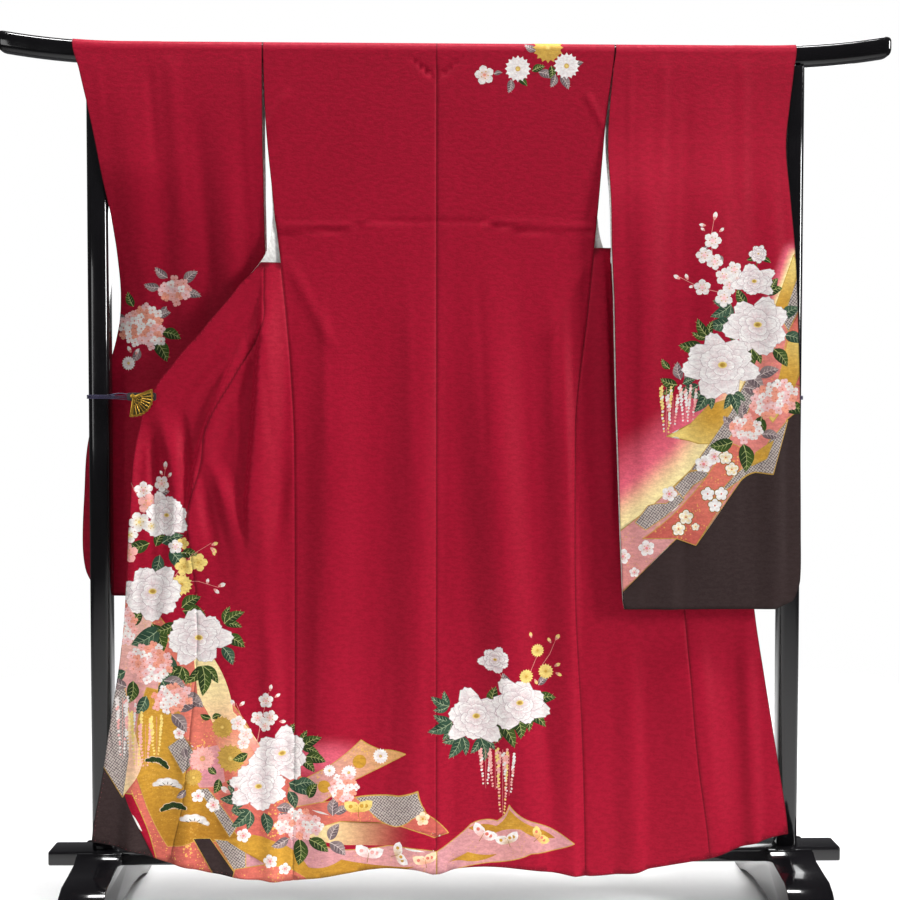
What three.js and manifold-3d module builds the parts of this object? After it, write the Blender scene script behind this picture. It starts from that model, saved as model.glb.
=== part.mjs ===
// A furisode kimono, seen from its back, spread on a black lacquered kimono stand.
// Millimetres, +Z up. The back of the garment faces -Y. The origin is on the floor, at the middle of the
// stand. "Left" is the wearer's left, which is the -X side.
import * as THREE from "three";
import { mergeVertices } from "three/addons/utils/BufferGeometryUtils.js";
import Module from "manifold-3d";

const wasm = await Module();
wasm.setup();

// ---- driving sizes -------------------------------------------------------------------------------------
const CLEAR = 0.3; // air between two pieces that touch
const WALL = 1.6; // cloth wall: silk and lining together
const COLLAR_WALL = 3; // the collar band is folded
const SEAM = 0.4; // air across a seam, measured along X

const RAIL = { length: 1690, depth: 40, height: 38, top: 1655, round: 12, lift: 21, liftFrom: 600, slack: 0.35, tip: 14 };
const POST = { centre: 660, width: 40, depth: 40, round: 11 };
const BAR = { length: 1520, depth: 60, bottom: 93.5, top: 120.5, round: 4 };
const FOOT = { width: 84, half: 222, top: 119.5, shoulder: 43, arch: 25, pad: 42 };

const CENTRE_SEAM = -20; // the garment hangs a little left of the stand's middle
const NECK = { left: -95, right: 55, drop: 46.2 };
const HANG = RAIL.depth / 2 + CLEAR + WALL / 2; // where the middle of the cloth wall hangs off the rail
const HEM_LOW = 69; // the lowest point of the hem
const FRONT_PULL = 9; // how far the pulled left front stands off the layer of the back

// ---- small tools ---------------------------------------------------------------------------------------
const mix = (a, b, t) => a + (b - a) * t;
const clamp = (t) => Math.min(1, Math.max(0, t));
const smooth = (from, to, t) => {
  const s = clamp((t - from) / (to - from));
  return s * s * (3 - 2 * s);
};
const range = (n) => Array.from({ length: n }, (_, i) => i);

// A table's column read at a place along its rows, as a smooth curve through the rows.
function readRow(rows, place, name) {
  const i = Math.min(rows.length - 2, Math.max(0, Math.floor(place)));
  const t = place - i;
  const at = (k) => rows[Math.min(rows.length - 1, Math.max(0, k))][name];
  const [a, b] = [at(i), at(i + 1)];
  const [da, db] = [(b - at(i - 1)) / 2, (at(i + 2) - a) / 2];
  return mix(a, b, t * t * (3 - 2 * t)) + t * (1 - t) * (da * (1 - t) - db * t);
}

// The place along rows whose `key` column, which only rises or only falls, has the given value.
function placeOf(rows, key, value) {
  const sign = rows[rows.length - 1][key] > rows[0][key] ? 1 : -1;
  const last = rows.length - 1;
  if ((value - rows[0][key]) * sign <= 0) return 0;
  if ((value - rows[last][key]) * sign >= 0) return last;
  let i = 0;
  while ((value - rows[i + 1][key]) * sign > 0) i++;
  return i + (value - rows[i][key]) / (rows[i + 1][key] - rows[i][key]);
}
const at = (rows, key, value, name) => readRow(rows, placeOf(rows, key, value), name);

const railTop = (x) => RAIL.top + RAIL.lift * Math.max(0, (Math.abs(x) - RAIL.liftFrom) / (RAIL.length / 2 - RAIL.liftFrom)) ** 2;

// ---- the cut lines of the cloth, as x at each height ------------------------------------------------------
const CENTRE = [{ z: 1700, x: CENTRE_SEAM }, { z: 0, x: CENTRE_SEAM }];

const SIDE_LEFT = [
  { z: 1655, x: -347 }, { z: 1492, x: -341 }, { z: 1322, x: -325 }, { z: 1249, x: -315 },
  { z: 1156, x: -305 }, { z: 1055, x: -296 }, { z: 906, x: -288 }, { z: 375, x: -288 }, { z: 60, x: -292 },
];
const SIDE_RIGHT = [
  { z: 1655, x: 317 }, { z: 1498, x: 299 }, { z: 1324, x: 284 }, { z: 1133, x: 265 },
  { z: 982, x: 247 }, { z: 900, x: 243 }, { z: 602, x: 244 }, { z: 346, x: 258 }, { z: 63, x: 265 },
];
const OKUMI_SEAM_LEFT = [
  { z: 1240, x: -344 }, { z: 1180, x: -344 }, { z: 1121, x: -347 }, { z: 1035, x: -394 }, { z: 933, x: -449 },
  { z: 861, x: -462 }, { z: 765, x: -487 }, { z: 680, x: -480 }, { z: 605, x: -472 }, { z: 500, x: -472 },
  { z: 374, x: -483 }, { z: 215, x: -499 }, { z: 107, x: -523 },
];
const OKUMI_EDGE_LEFT = [
  { z: 1252, x: -344 }, { z: 1200, x: -389 }, { z: 1107, x: -464 }, { z: 1041, x: -520 }, { z: 998, x: -552 },
  { z: 950, x: -573 }, { z: 864, x: -588 }, { z: 737, x: -597 }, { z: 593, x: -606 }, { z: 514, x: -614 },
  { z: 373, x: -635 }, { z: 276, x: -650 }, { z: 146, x: -671 },
];
const OKUMI_SEAM_RIGHT = [
  { z: 1240, x: 310 }, { z: 1120, x: 331 }, { z: 960, x: 400 }, { z: 760, x: 440 }, { z: 581, x: 453 },
  { z: 457, x: 463 }, { z: 308, x: 475 }, { z: 113, x: 499 },
];
const OKUMI_EDGE_RIGHT = [
  { z: 1252, x: 311 }, { z: 1200, x: 352 }, { z: 1107, x: 432 }, { z: 1041, x: 488 }, { z: 998, x: 523 },
  { z: 950, x: 549 }, { z: 860, x: 564 }, { z: 700, x: 577 }, { z: 580, x: 587 }, { z: 440, x: 609 },
  { z: 312, x: 630 }, { z: 151, x: 653 },
];
const HEM = [
  { x: -671, z: 147 }, { x: -592, z: 129 }, { x: -523, z: 106 }, { x: -449, z: 87 }, { x: -339, z: 71 },
  { x: -292, z: 69 }, { x: -224, z: 80 }, { x: -171, z: 86 }, { x: -116, z: 92 }, { x: -62, z: 93 },
  { x: -20, z: 82 }, { x: 20, z: 90 }, { x: 63, z: 93 }, { x: 103, z: 92 }, { x: 158, z: 90 },
  { x: 212, z: 83 }, { x: 265, z: 74 }, { x: 328, z: 78 }, { x: 383, z: 87 }, { x: 499, z: 112 },
  { x: 548, z: 125 }, { x: 603, z: 141 }, { x: 653, z: 153 },
];

// ---- the hanging layer: backs, lower fronts and okumi are one surface, y over x and z -----------------------
// A fold runs down through three places. left and right are the widths of its flanks, rise its height
// toward -Y (a valley is negative), and end how much of that height it keeps at its last place.
const FOLDS = [
  { topX: -148, topZ: 1200, midX: -182, midZ: 850, endX: -232, endZ: 120, left: 60, right: 70, rise: 15, end: 0.2 },
  { topX: -112, topZ: 950, midX: -144, midZ: 605, endX: -190, endZ: 90, left: 26, right: 34, rise: -8, end: 0.6 },
  { topX: -62, topZ: 780, midX: -62, midZ: 380, endX: -62, endZ: 60, left: 18, right: 16, rise: -8, end: 1.5 },
  { topX: -13, topZ: 1400, midX: -13, midZ: 900, endX: -18, endZ: 60, left: 17, right: 26, rise: 9, end: 2.1 },
  { topX: 24, topZ: 1150, midX: 24, midZ: 700, endX: 40, endZ: 60, left: 18, right: 34, rise: -6, end: 1.2 },
  { topX: 88, topZ: 1290, midX: 136, midZ: 850, endX: 196, endZ: 200, left: 52, right: 26, rise: 17, end: 0.3 },
  { topX: 160, topZ: 1080, midX: 205, midZ: 660, endX: 252, endZ: 220, left: 22, right: 30, rise: -11, end: 0.9 },
  { topX: -283, topZ: 1270, midX: -270, midZ: 1020, endX: -262, endZ: 700, left: 18, right: 30, rise: -7, end: 0.3 },
  { topX: 238, topZ: 1250, midX: 222, midZ: 1020, endX: 215, endZ: 800, left: 26, right: 18, rise: -6, end: 0.3 },
  { topX: -288, topZ: 900, midX: -288, midZ: 480, endX: -292, endZ: 60, left: 84, right: 54, rise: 9, end: 3.2 },
  { topX: 244, topZ: 760, midX: 248, midZ: 430, endX: 265, endZ: 60, left: 44, right: 74, rise: 9, end: 3 },
  { topX: -339, topZ: 1262, midX: -352, midZ: 1040, endX: -372, endZ: 790, left: 12, right: 58, rise: 15, end: 0.8 },
  { topX: -344, topZ: 1150, midX: -446, midZ: 945, endX: -484, endZ: 745, left: 9, right: 46, rise: 11, end: 0.6 },
  { topX: -446, topZ: 880, midX: -421, midZ: 800, endX: -386, endZ: 690, left: 16, right: 22, rise: 9, end: 0.5 },
  { topX: -462, topZ: 900, midX: -452, midZ: 793, endX: -398, endZ: 670, left: 16, right: 15, rise: -9, end: 0.4 },
  { topX: -300, topZ: 880, midX: -320, midZ: 793, endX: -352, endZ: 700, left: 22, right: 18, rise: -8, end: 0.3 },
  { topX: -574, topZ: 975, midX: -588, midZ: 850, endX: -594, endZ: 640, left: 12, right: 16, rise: 9, end: 0.3 },
  { topX: -562, topZ: 965, midX: -552, midZ: 845, endX: -556, endZ: 700, left: 14, right: 16, rise: -9, end: 0.3 },
  { topX: -540, topZ: 975, midX: -516, midZ: 860, endX: -530, endZ: 600, left: 22, right: 34, rise: 9, end: 0.4 },
  { topX: -505, topZ: 985, midX: -488, midZ: 880, endX: -500, endZ: 740, left: 20, right: 12, rise: -6, end: 0.5 },
  { topX: -560, topZ: 560, midX: -580, midZ: 330, endX: -600, endZ: 120, left: 30, right: 40, rise: 7, end: 1.2 },
  { topX: -410, topZ: 560, midX: -400, midZ: 330, endX: -390, endZ: 60, left: 45, right: 45, rise: 6, end: 0.9 },
  { topX: 290, topZ: 1330, midX: 303, midZ: 1100, endX: 312, endZ: 840, left: 40, right: 10, rise: 7, end: 0.5 },
  { topX: 336, topZ: 560, midX: 340, midZ: 300, endX: 336, endZ: 60, left: 36, right: 30, rise: -9, end: 1.2 },
  { topX: 400, topZ: 560, midX: 405, midZ: 330, endX: 410, endZ: 80, left: 50, right: 40, rise: 8, end: 1 },
  { topX: 545, topZ: 560, midX: 552, midZ: 330, endX: 566, endZ: 110, left: 40, right: 36, rise: 8, end: 1 },
];

// The quadratic through a fold's three places.
function foldX(fold, z) {
  const { topX, topZ, midX, midZ, endX, endZ } = fold;
  const a = ((z - midZ) * (z - endZ)) / ((topZ - midZ) * (topZ - endZ));
  const b = ((z - topZ) * (z - endZ)) / ((midZ - topZ) * (midZ - endZ));
  const c = ((z - topZ) * (z - midZ)) / ((endZ - topZ) * (endZ - midZ));
  return a * topX + b * midX + c * endX;
}

function foldRise(fold, x, z) {
  if (z >= fold.topZ) return 0;
  const below = Math.max(z, fold.endZ);
  const away = x - foldX(fold, below);
  const reach = Math.abs(away) / (away < 0 ? fold.left : fold.right);
  if (reach >= 1) return 0;
  const grown = z > fold.midZ ? smooth(fold.topZ, fold.midZ, z) : mix(1, fold.end, smooth(fold.midZ, fold.endZ, z));
  const faded = fold.end < 1 && z < fold.endZ ? 1 - smooth(0, 120, fold.endZ - z) : 1;
  return fold.rise * grown * faded * (1 + Math.cos(Math.PI * reach)) / 2;
}

function layerY(x, z) {
  const swing = 15 * smooth(1500, 700, z) + 8 * smooth(500, 150, z);
  const pulled = FRONT_PULL * smooth(300, 350, -x) * smooth(1330, 1230, z) * (1 - smooth(700, 300, z) * 0.4);
  const rises = FOLDS.reduce((sum, fold) => sum + foldRise(fold, x, z), 0);
  const clearOfStand = mix(HANG, BAR.depth / 2 + 3.5, smooth(320, 200, z));
  return -Math.max(clearOfStand, HANG + swing + pulled + rises);
}

// ---- from a grid of middle points to a closed wall ----------------------------------------------------------
const vec = (x, y, z) => new THREE.Vector3(x, y, z);

// A point of the middle surface, with the way out of the cloth's right side.
const point = (x, y, z, out = vec(0, -1, 0)) => ({ at: vec(x, y, z), out });

// grid[row][column] of points. The wall is measured square to the surface but laid off along `out`, so that
// two pieces with a common cut line stay apart by their seam.
function wall(grid, thickness = WALL) {
  const rows = grid.length;
  const columns = grid[0].length;
  const positions = [];
  const index = [];
  const side = [[], []];
  const step = (i, j) => grid[Math.min(rows - 1, Math.max(0, i))][Math.min(columns - 1, Math.max(0, j))].at;
  for (let i = 0; i < rows; i++) {
    for (let j = 0; j < columns; j++) {
      const across = step(i, j + 1).clone().sub(step(i, j - 1));
      const down = step(i + 1, j).clone().sub(step(i - 1, j));
      const lean = Math.abs(across.cross(down).normalize().dot(grid[i][j].out));
      const half = Math.min(1.9, 1 / Math.max(lean, 0.1)) * thickness / 2;
      for (const k of [0, 1]) {
        const p = grid[i][j].at.clone().addScaledVector(grid[i][j].out, k === 0 ? half : -half);
        side[k].push(positions.length / 3);
        positions.push(p.x, p.y, p.z);
      }
    }
  }
  const quad = (a, b, c, d) => index.push(a, b, c, a, c, d);
  const id = (k, i, j) => side[k][i * columns + j];
  for (let i = 0; i + 1 < rows; i++) {
    for (let j = 0; j + 1 < columns; j++) {
      quad(id(0, i, j), id(0, i + 1, j), id(0, i + 1, j + 1), id(0, i, j + 1));
      quad(id(1, i, j), id(1, i, j + 1), id(1, i + 1, j + 1), id(1, i + 1, j));
    }
    quad(id(0, i, 0), id(1, i, 0), id(1, i + 1, 0), id(0, i + 1, 0));
    const r = columns - 1;
    quad(id(0, i, r), id(0, i + 1, r), id(1, i + 1, r), id(1, i, r));
  }
  for (let j = 0; j + 1 < columns; j++) {
    quad(id(0, 0, j), id(0, 0, j + 1), id(1, 0, j + 1), id(1, 0, j));
    const b = rows - 1;
    quad(id(0, b, j), id(1, b, j), id(1, b, j + 1), id(0, b, j + 1));
  }
  return facingOut(closed(positions, index));
}

function closed(positions, index) {
  const geometry = new THREE.BufferGeometry();
  geometry.setAttribute("position", new THREE.Float32BufferAttribute(positions, 3));
  geometry.setIndex(index);
  return geometry;
}

// Turns a closed mesh right side out.
function facingOut(geometry) {
  const p = geometry.getAttribute("position");
  const index = geometry.index.array;
  let volume = 0;
  for (let i = 0; i < index.length; i += 3) {
    const [a, b, c] = [0, 1, 2].map((k) => vec().fromBufferAttribute(p, index[i + k]));
    volume += a.dot(b.cross(c));
  }
  if (volume < 0) for (let i = 0; i < index.length; i += 3) [index[i], index[i + 1]] = [index[i + 1], index[i]];
  geometry.computeVertexNormals();
  return geometry;
}

// ---- the cloth over the rail ----------------------------------------------------------------------------
// The top of a wall: from the fold on top of the rail, round its edge, as points of one column at x.
// side is -1 on the camera's side of the rail, the garment's back, and +1 behind it.
const OVER_STEPS = 4;
function overRail(x, side) {
  const top = railTop(x) + (Math.abs(x) > RAIL.liftFrom - 60 ? RAIL.slack : 0);
  const radius = RAIL.round + CLEAR + WALL / 2;
  const centreY = RAIL.depth / 2 - RAIL.round;
  const points = [point(x, side * SEAM / 2, top + CLEAR + WALL / 2, vec(0, 0, 1))];
  for (const k of range(OVER_STEPS + 1)) {
    const a = (k / OVER_STEPS) * Math.PI / 2;
    const [s, c] = [Math.sin(a), Math.cos(a)];
    points.push(point(x, side * (centreY + radius * s), top - RAIL.round + radius * c, vec(0, side * s, c)));
  }
  return points;
}

// A piece of the hanging layer between two cut lines, down to the hem. It starts over the rail, or at the
// heights top.left and top.right. All pieces share their rows' heights, so that they meet along the seams.
const LAYER_ROWS = 28;
function layerPiece({ left, right, columns, top }) {
  const last = (rows) => rows[rows.length - 1].x;
  const start = RAIL.top - RAIL.round;
  const first = top ? Math.ceil(((start - Math.min(top.left, top.right) + 12) / (start - HEM_LOW)) * LAYER_ROWS) : 0;
  const table = range(columns + 1).map((j) => {
    const u = j / columns;
    const cut = (z) => mix(at(left, "z", z, "x") + SEAM / 2, at(right, "z", z, "x") - SEAM / 2, u);
    const hem = at(HEM, "x", cut(at(HEM, "x", mix(last(left), last(right), u), "z")), "z");
    const heights = range(LAYER_ROWS + 1 - first).map((k) => mix(start, hem, (k + first) / LAYER_ROWS));
    if (top) heights.unshift(mix(top.left, top.right, u));
    const hanging = heights.map((z) => {
      const x = cut(z);
      return point(x, mix(-HANG, layerY(x, z), top ? 1 : smooth(start, start - 60, z)), z);
    });
    return top ? hanging : [...overRail(cut(RAIL.top), -1).slice(0, -1), ...hanging];
  });
  return wall(table[0].map((_, i) => table.map((column) => column[i])));
}

// A piece with its own depth: each row of its table gives its left end (lx, ly, lz) and right end (rx, ry, rz).
function spannedPiece({ rows, columns, steps, side = 0, thickness = WALL, folds = [] }) {
  const out = vec(0, side || -1, 0);
  const over = side ? range(columns + 1).map((j) => overRail(mix(rows[0].lx, rows[0].rx, j / columns), side)) : null;
  const grid = over ? range(OVER_STEPS + 1).map((i) => over.map((column) => column[i])) : [];
  for (const i of range(steps + 1)) {
    const place = (i / steps) * (rows.length - 1);
    const [lx, ly, lz, rx, ry, rz] = ["lx", "ly", "lz", "rx", "ry", "rz"].map((name) => readRow(rows, place, name));
    grid.push(range(columns + 1).map((j) => {
      const u = j / columns;
      const [x, z] = [mix(lx, rx, u), mix(lz, rz, u)];
      const soft = folds.reduce((sum, fold) => sum + foldRise(fold, x, z), 0) * Math.sin(Math.PI * clamp(u)) ** 0.5;
      return point(x, mix(ly, ry, u) - soft, z, out);
    }));
  }
  return wall(grid, thickness);
}

// ---- sleeves ---------------------------------------------------------------------------------------------
const EDGE = RAIL.top - RAIL.round; // where the cloth leaves the rail's rounding
const SLEEVE_TOP = HANG;

// The wall nearer the viewer. The left sleeve passes behind its post, the right sleeve in front of its own.
const SLEEVE_LEFT_BACK = [
  { lz: EDGE + 3.5, lx: -703, ly: -SLEEVE_TOP, rz: EDGE, rx: -348, ry: -SLEEVE_TOP },
  { lz: 1600, lx: -690, ly: -23, rz: 1600, rx: -348, ry: -22 },
  { lz: 1541, lx: -676, ly: -24.5, rz: 1541, rx: -348, ry: -22 },
  { lz: 1469, lx: -661, ly: -25, rz: 1469, rx: -348, ry: -20 },
  { lz: 1400, lx: -648, ly: -24, rz: 1400, rx: -347, ry: -16 },
  { lz: 1325, lx: -634, ly: -13, rz: 1325, rx: -346, ry: -12 },
  { lz: 1255, lx: -627, ly: 3, rz: 1255, rx: -345, ry: -9 },
  { lz: 1180, lx: -625, ly: 19, rz: 1180, rx: -344, ry: -7 },
  { lz: 1110, lx: -634, ly: 28, rz: 1110, rx: -344, ry: -6 },
  { lz: 1010, lx: -664, ly: 30.5, rz: 1010, rx: -344, ry: -5 },
  { lz: 900, lx: -693, ly: 30.5, rz: 900, rx: -343, ry: -4 },
  { lz: 800, lx: -701, ly: 30.5, rz: 800, rx: -343, ry: -3 },
  { lz: 702, lx: -705, ly: 30.5, rz: 702, rx: -343, ry: -2 },
  { lz: 650, lx: -699, ly: 30.5, rz: 650, rx: -343, ry: 0 },
  { lz: 615, lx: -680, ly: 30.5, rz: 618, rx: -343, ry: 3 },
  { lz: 601, lx: -646, ly: 30, rz: 603, rx: -343, ry: 5 },
];
const SLEEVE_RIGHT_BACK = [
  { lz: EDGE, lx: 318.6, ly: -SLEEVE_TOP, rz: EDGE + 1.5, rx: 662, ry: -SLEEVE_TOP },
  { lz: 1612, lx: 314, ly: -22, rz: 1612, rx: 657, ry: -23 },
  { lz: 1540, lx: 307, ly: -24, rz: 1540, rx: 648, ry: -26 },
  { lz: 1462, lx: 303, ly: -29, rz: 1462, rx: 640, ry: -32 },
  { lz: 1359, lx: 307, ly: -44, rz: 1359, rx: 646, ry: -44 },
  { lz: 1262, lx: 308, ly: -53, rz: 1262, rx: 653, ry: -53 },
  { lz: 1171, lx: 312, ly: -58, rz: 1171, rx: 657, ry: -58 },
  { lz: 983, lx: 316, ly: -62, rz: 983, rx: 663, ry: -60 },
  { lz: 882, lx: 320, ly: -63, rz: 882, rx: 665, ry: -60 },
  { lz: 735, lx: 325, ly: -63, rz: 735, rx: 667, ry: -60 },
  { lz: 640, lx: 329, ly: -62, rz: 640, rx: 667, ry: -59 },
  { lz: 601, lx: 331, ly: -60, rz: 602, rx: 654, ry: -57 },
  { lz: 587, lx: 334, ly: -59, rz: 588, rx: 622, ry: -57 },
];
// The far wall meets the near one at the closed outer edge and the bottom, by the walls and their air.
const SHUT = WALL + 0.7;
const SLEEVE_LEFT_FRONT = [
  { lz: EDGE + 3.5, lx: -703, ly: SLEEVE_TOP, rz: EDGE, rx: -348, ry: SLEEVE_TOP },
  { lz: 1600, lx: -692, ly: 23, rz: 1600, rx: -348, ry: 22 },
  { lz: 1541, lx: -684, ly: 24, rz: 1541, rx: -348, ry: 22 },
  { lz: 1469, lx: -660, ly: 25, rz: 1469, rx: -348, ry: 20 },
  { lz: 1405, lx: -641, ly: 24, rz: 1405, rx: -347, ry: 19 },
  { lz: 1368, lx: -637, ly: 14, rz: 1368, rx: -347, ry: 18.5 },
  { lz: 1325, lx: -634, ly: -13 + SHUT + 4, rz: 1325, rx: -346, ry: 18 },
  { lz: 1255, lx: -627, ly: 3 + SHUT, rz: 1255, rx: -345, ry: 18 },
  { lz: 1180, lx: -625, ly: 19 + SHUT, rz: 1180, rx: -344, ry: 18 },
  { lz: 1110, lx: -634, ly: 28 + SHUT, rz: 1110, rx: -344, ry: 18 },
  { lz: 1010, lx: -664, ly: 30.5 + SHUT, rz: 1010, rx: -344, ry: 18 },
  { lz: 900, lx: -693, ly: 30.5 + SHUT, rz: 900, rx: -343, ry: 18 },
  { lz: 800, lx: -701, ly: 30.5 + SHUT, rz: 800, rx: -343, ry: 17 },
  { lz: 702, lx: -705, ly: 30.5 + SHUT, rz: 702, rx: -343, ry: 15 },
  { lz: 650, lx: -699, ly: 30.5 + SHUT, rz: 650, rx: -343, ry: 12 },
  { lz: 615, lx: -680, ly: 30.5 + SHUT, rz: 618, rx: -343, ry: 9 },
  { lz: 601, lx: -646, ly: 30 + SHUT, rz: 603, rx: -343, ry: 5 + SHUT },
];
const SLEEVE_RIGHT_FRONT = [
  { lz: EDGE, lx: 318.6, ly: SLEEVE_TOP, rz: EDGE + 1.5, rx: 656, ry: SLEEVE_TOP },
  { lz: 1612, lx: 314, ly: 22, rz: 1612, rx: 636, ry: 22 },
  { lz: 1540, lx: 307, ly: 20, rz: 1540, rx: 633, ry: 7 },
  { lz: 1462, lx: 303, ly: 2, rz: 1462, rx: 633, ry: -14 },
  { lz: 1359, lx: 307, ly: -24, rz: 1359, rx: 641, ry: -38 },
  { lz: 1262, lx: 308, ly: -40, rz: 1262, rx: 653, ry: -53 + SHUT },
  { lz: 1171, lx: 312, ly: -43, rz: 1171, rx: 657, ry: -58 + SHUT },
  { lz: 983, lx: 316, ly: -46, rz: 983, rx: 663, ry: -60 + SHUT },
  { lz: 882, lx: 320, ly: -48, rz: 882, rx: 665, ry: -60 + SHUT },
  { lz: 735, lx: 325, ly: -50, rz: 735, rx: 667, ry: -60 + SHUT },
  { lz: 640, lx: 329, ly: -53, rz: 640, rx: 667, ry: -59 + SHUT },
  { lz: 601, lx: 331, ly: -56, rz: 602, rx: 654, ry: -57 + SHUT },
  { lz: 587, lx: 334, ly: -59 + SHUT, rz: 588, rx: 622, ry: -57 + SHUT },
];
const SLEEVE_LEFT_FOLDS = [
  { topX: -610, topZ: 1640, midX: -590, midZ: 1300, endX: -560, endZ: 760, left: 60, right: 70, rise: 7, end: 0.6 },
  { topX: -420, topZ: 1600, midX: -410, midZ: 1250, endX: -420, endZ: 760, left: 50, right: 40, rise: 6, end: 0.6 },
];
const SLEEVE_RIGHT_FOLDS = [
  { topX: 372, topZ: 1600, midX: 366, midZ: 1250, endX: 372, endZ: 720, left: 34, right: 60, rise: 6, end: 0.7 },
  { topX: 520, topZ: 1620, midX: 500, midZ: 1200, endX: 486, endZ: 700, left: 70, right: 80, rise: 6, end: 0.5 },
  { topX: 612, topZ: 1560, midX: 616, midZ: 1150, endX: 620, endZ: 680, left: 40, right: 30, rise: 4, end: 1 },
];

// ---- upper fronts, behind the rail -------------------------------------------------------------------------
// Each runs from the shoulder down behind the body, forward under the arm and out to the clip.
const FRONT_LEFT_UPPER = [
  { lz: EDGE, lx: -347, ly: HANG, rz: EDGE, rx: -95, ry: HANG },
  { lz: 1600, lx: -346, ly: 22, rz: 1596, rx: -108, ry: 22 },
  { lz: 1540, lx: -344, ly: 20, rz: 1528, rx: -128, ry: 22 },
  { lz: 1482, lx: -340, ly: 12, rz: 1450, rx: -152, ry: 19 },
  { lz: 1400, lx: -334, ly: -3, rz: 1360, rx: -185, ry: 11 },
  { lz: 1322, lx: -330, ly: -18, rz: 1275, rx: -224, ry: 0 },
  { lz: 1258, lx: -342, ly: -25, rz: 1190, rx: -284, ry: -13 },
  { lz: 1200, lx: -386, ly: -28.5, rz: 1120, rx: -350, ry: -22 },
  { lz: 1107, lx: -460, ly: -32, rz: 1056, rx: -430, ry: -29 },
  { lz: 1041, lx: -516, ly: -35, rz: 1012, rx: -500, ry: -33.5 },
  { lz: 1001, lx: -548, ly: -36.5, rz: 990, rx: -548, ry: -36 },
];
const FRONT_RIGHT_UPPER = [
  { lz: EDGE, lx: 55, ly: HANG, rz: EDGE, rx: 317, ry: HANG },
  { lz: 1596, lx: 68, ly: 22, rz: 1600, rx: 311, ry: 22 },
  { lz: 1528, lx: 88, ly: 22, rz: 1540, rx: 304, ry: 20 },
  { lz: 1450, lx: 112, ly: 19, rz: 1482, rx: 297, ry: 12 },
  { lz: 1360, lx: 145, ly: 11, rz: 1400, rx: 288, ry: -3 },
  { lz: 1275, lx: 184, ly: 0, rz: 1322, rx: 286, ry: -17 },
  { lz: 1190, lx: 250, ly: -11, rz: 1258, rx: 302, ry: -20 },
  { lz: 1120, lx: 316, ly: -19, rz: 1200, rx: 348, ry: -22.5 },
  { lz: 1056, lx: 400, ly: -25, rz: 1107, rx: 428, ry: -26.5 },
  { lz: 1012, lx: 468, ly: -28, rz: 1041, rx: 484, ry: -28.5 },
  { lz: 990, lx: 518, ly: -29, rz: 1001, rx: 519, ry: -29 },
];
// The collar lies along the inner edge of an upper front. It is this wide, and parts from the front by a seam.
const COLLAR_WIDTH = 55;
const COLLAR_SEAM = 1.2;
function collarRows(front, edge, turn) {
  const rows = front.slice(1).map((row) => ({ x: row[edge + "x"], y: row[edge + "y"], z: row[edge + "z"] }));
  return rows.map((row, i) => {
    const [before, after] = [rows[Math.max(0, i - 1)], rows[Math.min(rows.length - 1, i + 1)]];
    const length = Math.hypot(after.x - before.x, after.z - before.z);
    const square = [turn * -(after.z - before.z) / length, turn * (after.x - before.x) / length];
    const width = i === 0 ? [turn * COLLAR_WIDTH, 0] : square.map((s) => s * COLLAR_WIDTH);
    const seam = i === 0 ? [turn * COLLAR_SEAM, 0] : square.map((s) => s * COLLAR_SEAM);
    const near = { x: row.x + seam[0], y: row.y, z: row.z + seam[1] };
    const far = { x: row.x + width[0], y: row.y + 1.5, z: row.z + width[1] };
    const [l, r] = turn > 0 ? [near, far] : [far, near];
    return { lx: l.x, ly: l.y, lz: l.z, rx: r.x, ry: r.y, rz: r.z };
  });
}

// ---- stand -----------------------------------------------------------------------------------------------
function railPiece() {
  const { length, depth, height, round, tip } = RAIL;
  const [a, b] = [depth / 2 - round, height / 2 - round];
  const corner = 3;
  const section = [];
  for (const [sy, sz, from] of [[1, 1, 0], [-1, 1, 90], [-1, -1, 180], [1, -1, 270]]) {
    for (const k of range(corner + 1)) {
      const t = THREE.MathUtils.degToRad(from + (90 * k) / corner);
      section.push([sy * a + round * Math.cos(t), sz * b + round * Math.sin(t)]);
    }
  }
  const half = length / 2;
  const bends = [845, 841, 831, 790, 745, 700, 650, 600];
  const stations = [...bends.map((x) => -x), ...bends.reverse()];
  const positions = [];
  const index = [];
  for (const x of stations) {
    const inset = Math.max(0, Math.abs(x) - (half - tip)) / tip;
    const scale = 1 - 0.28 * inset * inset;
    for (const [y, z] of section) positions.push(x, y * scale, railTop(x) - height / 2 + z * scale);
  }
  const n = section.length;
  for (const i of range(stations.length - 1)) {
    for (const j of range(n)) {
      const [p, q] = [i * n + j, i * n + ((j + 1) % n)];
      index.push(p, q, q + n, p, q + n, p + n);
    }
  }
  for (const [ring, flip] of [[0, true], [stations.length - 1, false]]) {
    for (let j = 1; j + 1 < n; j++) {
      const [p, q, r] = [ring * n, ring * n + j, ring * n + j + 1];
      index.push(p, flip ? r : q, flip ? q : r);
    }
  }
  return facingOut(closed(positions, index));
}

// A rectangle with round corners, as a shape about its middle.
function rounded(width, height, round, steps = 3) {
  const shape = new THREE.Shape();
  const [a, b] = [width / 2 - round, height / 2 - round];
  for (const [i, [sx, sy]] of [[1, 1], [-1, 1], [-1, -1], [1, -1]].entries()) {
    for (const k of range(steps + 1)) {
      const t = (i + k / steps) * Math.PI / 2;
      const p = [sx * a + round * Math.cos(t), sy * b + round * Math.sin(t)];
      if (i + k === 0) shape.moveTo(...p);
      else shape.lineTo(...p);
    }
  }
  shape.closePath();
  return shape;
}

const extrude = (shape, depth) => new THREE.ExtrudeGeometry(shape, { depth, bevelEnabled: false, curveSegments: 8 });

function postPiece(x) {
  const bottom = BAR.top + CLEAR;
  const top = railTop(Math.abs(x) - POST.width / 2) - RAIL.height - CLEAR;
  return extrude(rounded(POST.width, POST.depth, POST.round), top - bottom).translate(x, 0, bottom);
}

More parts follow.
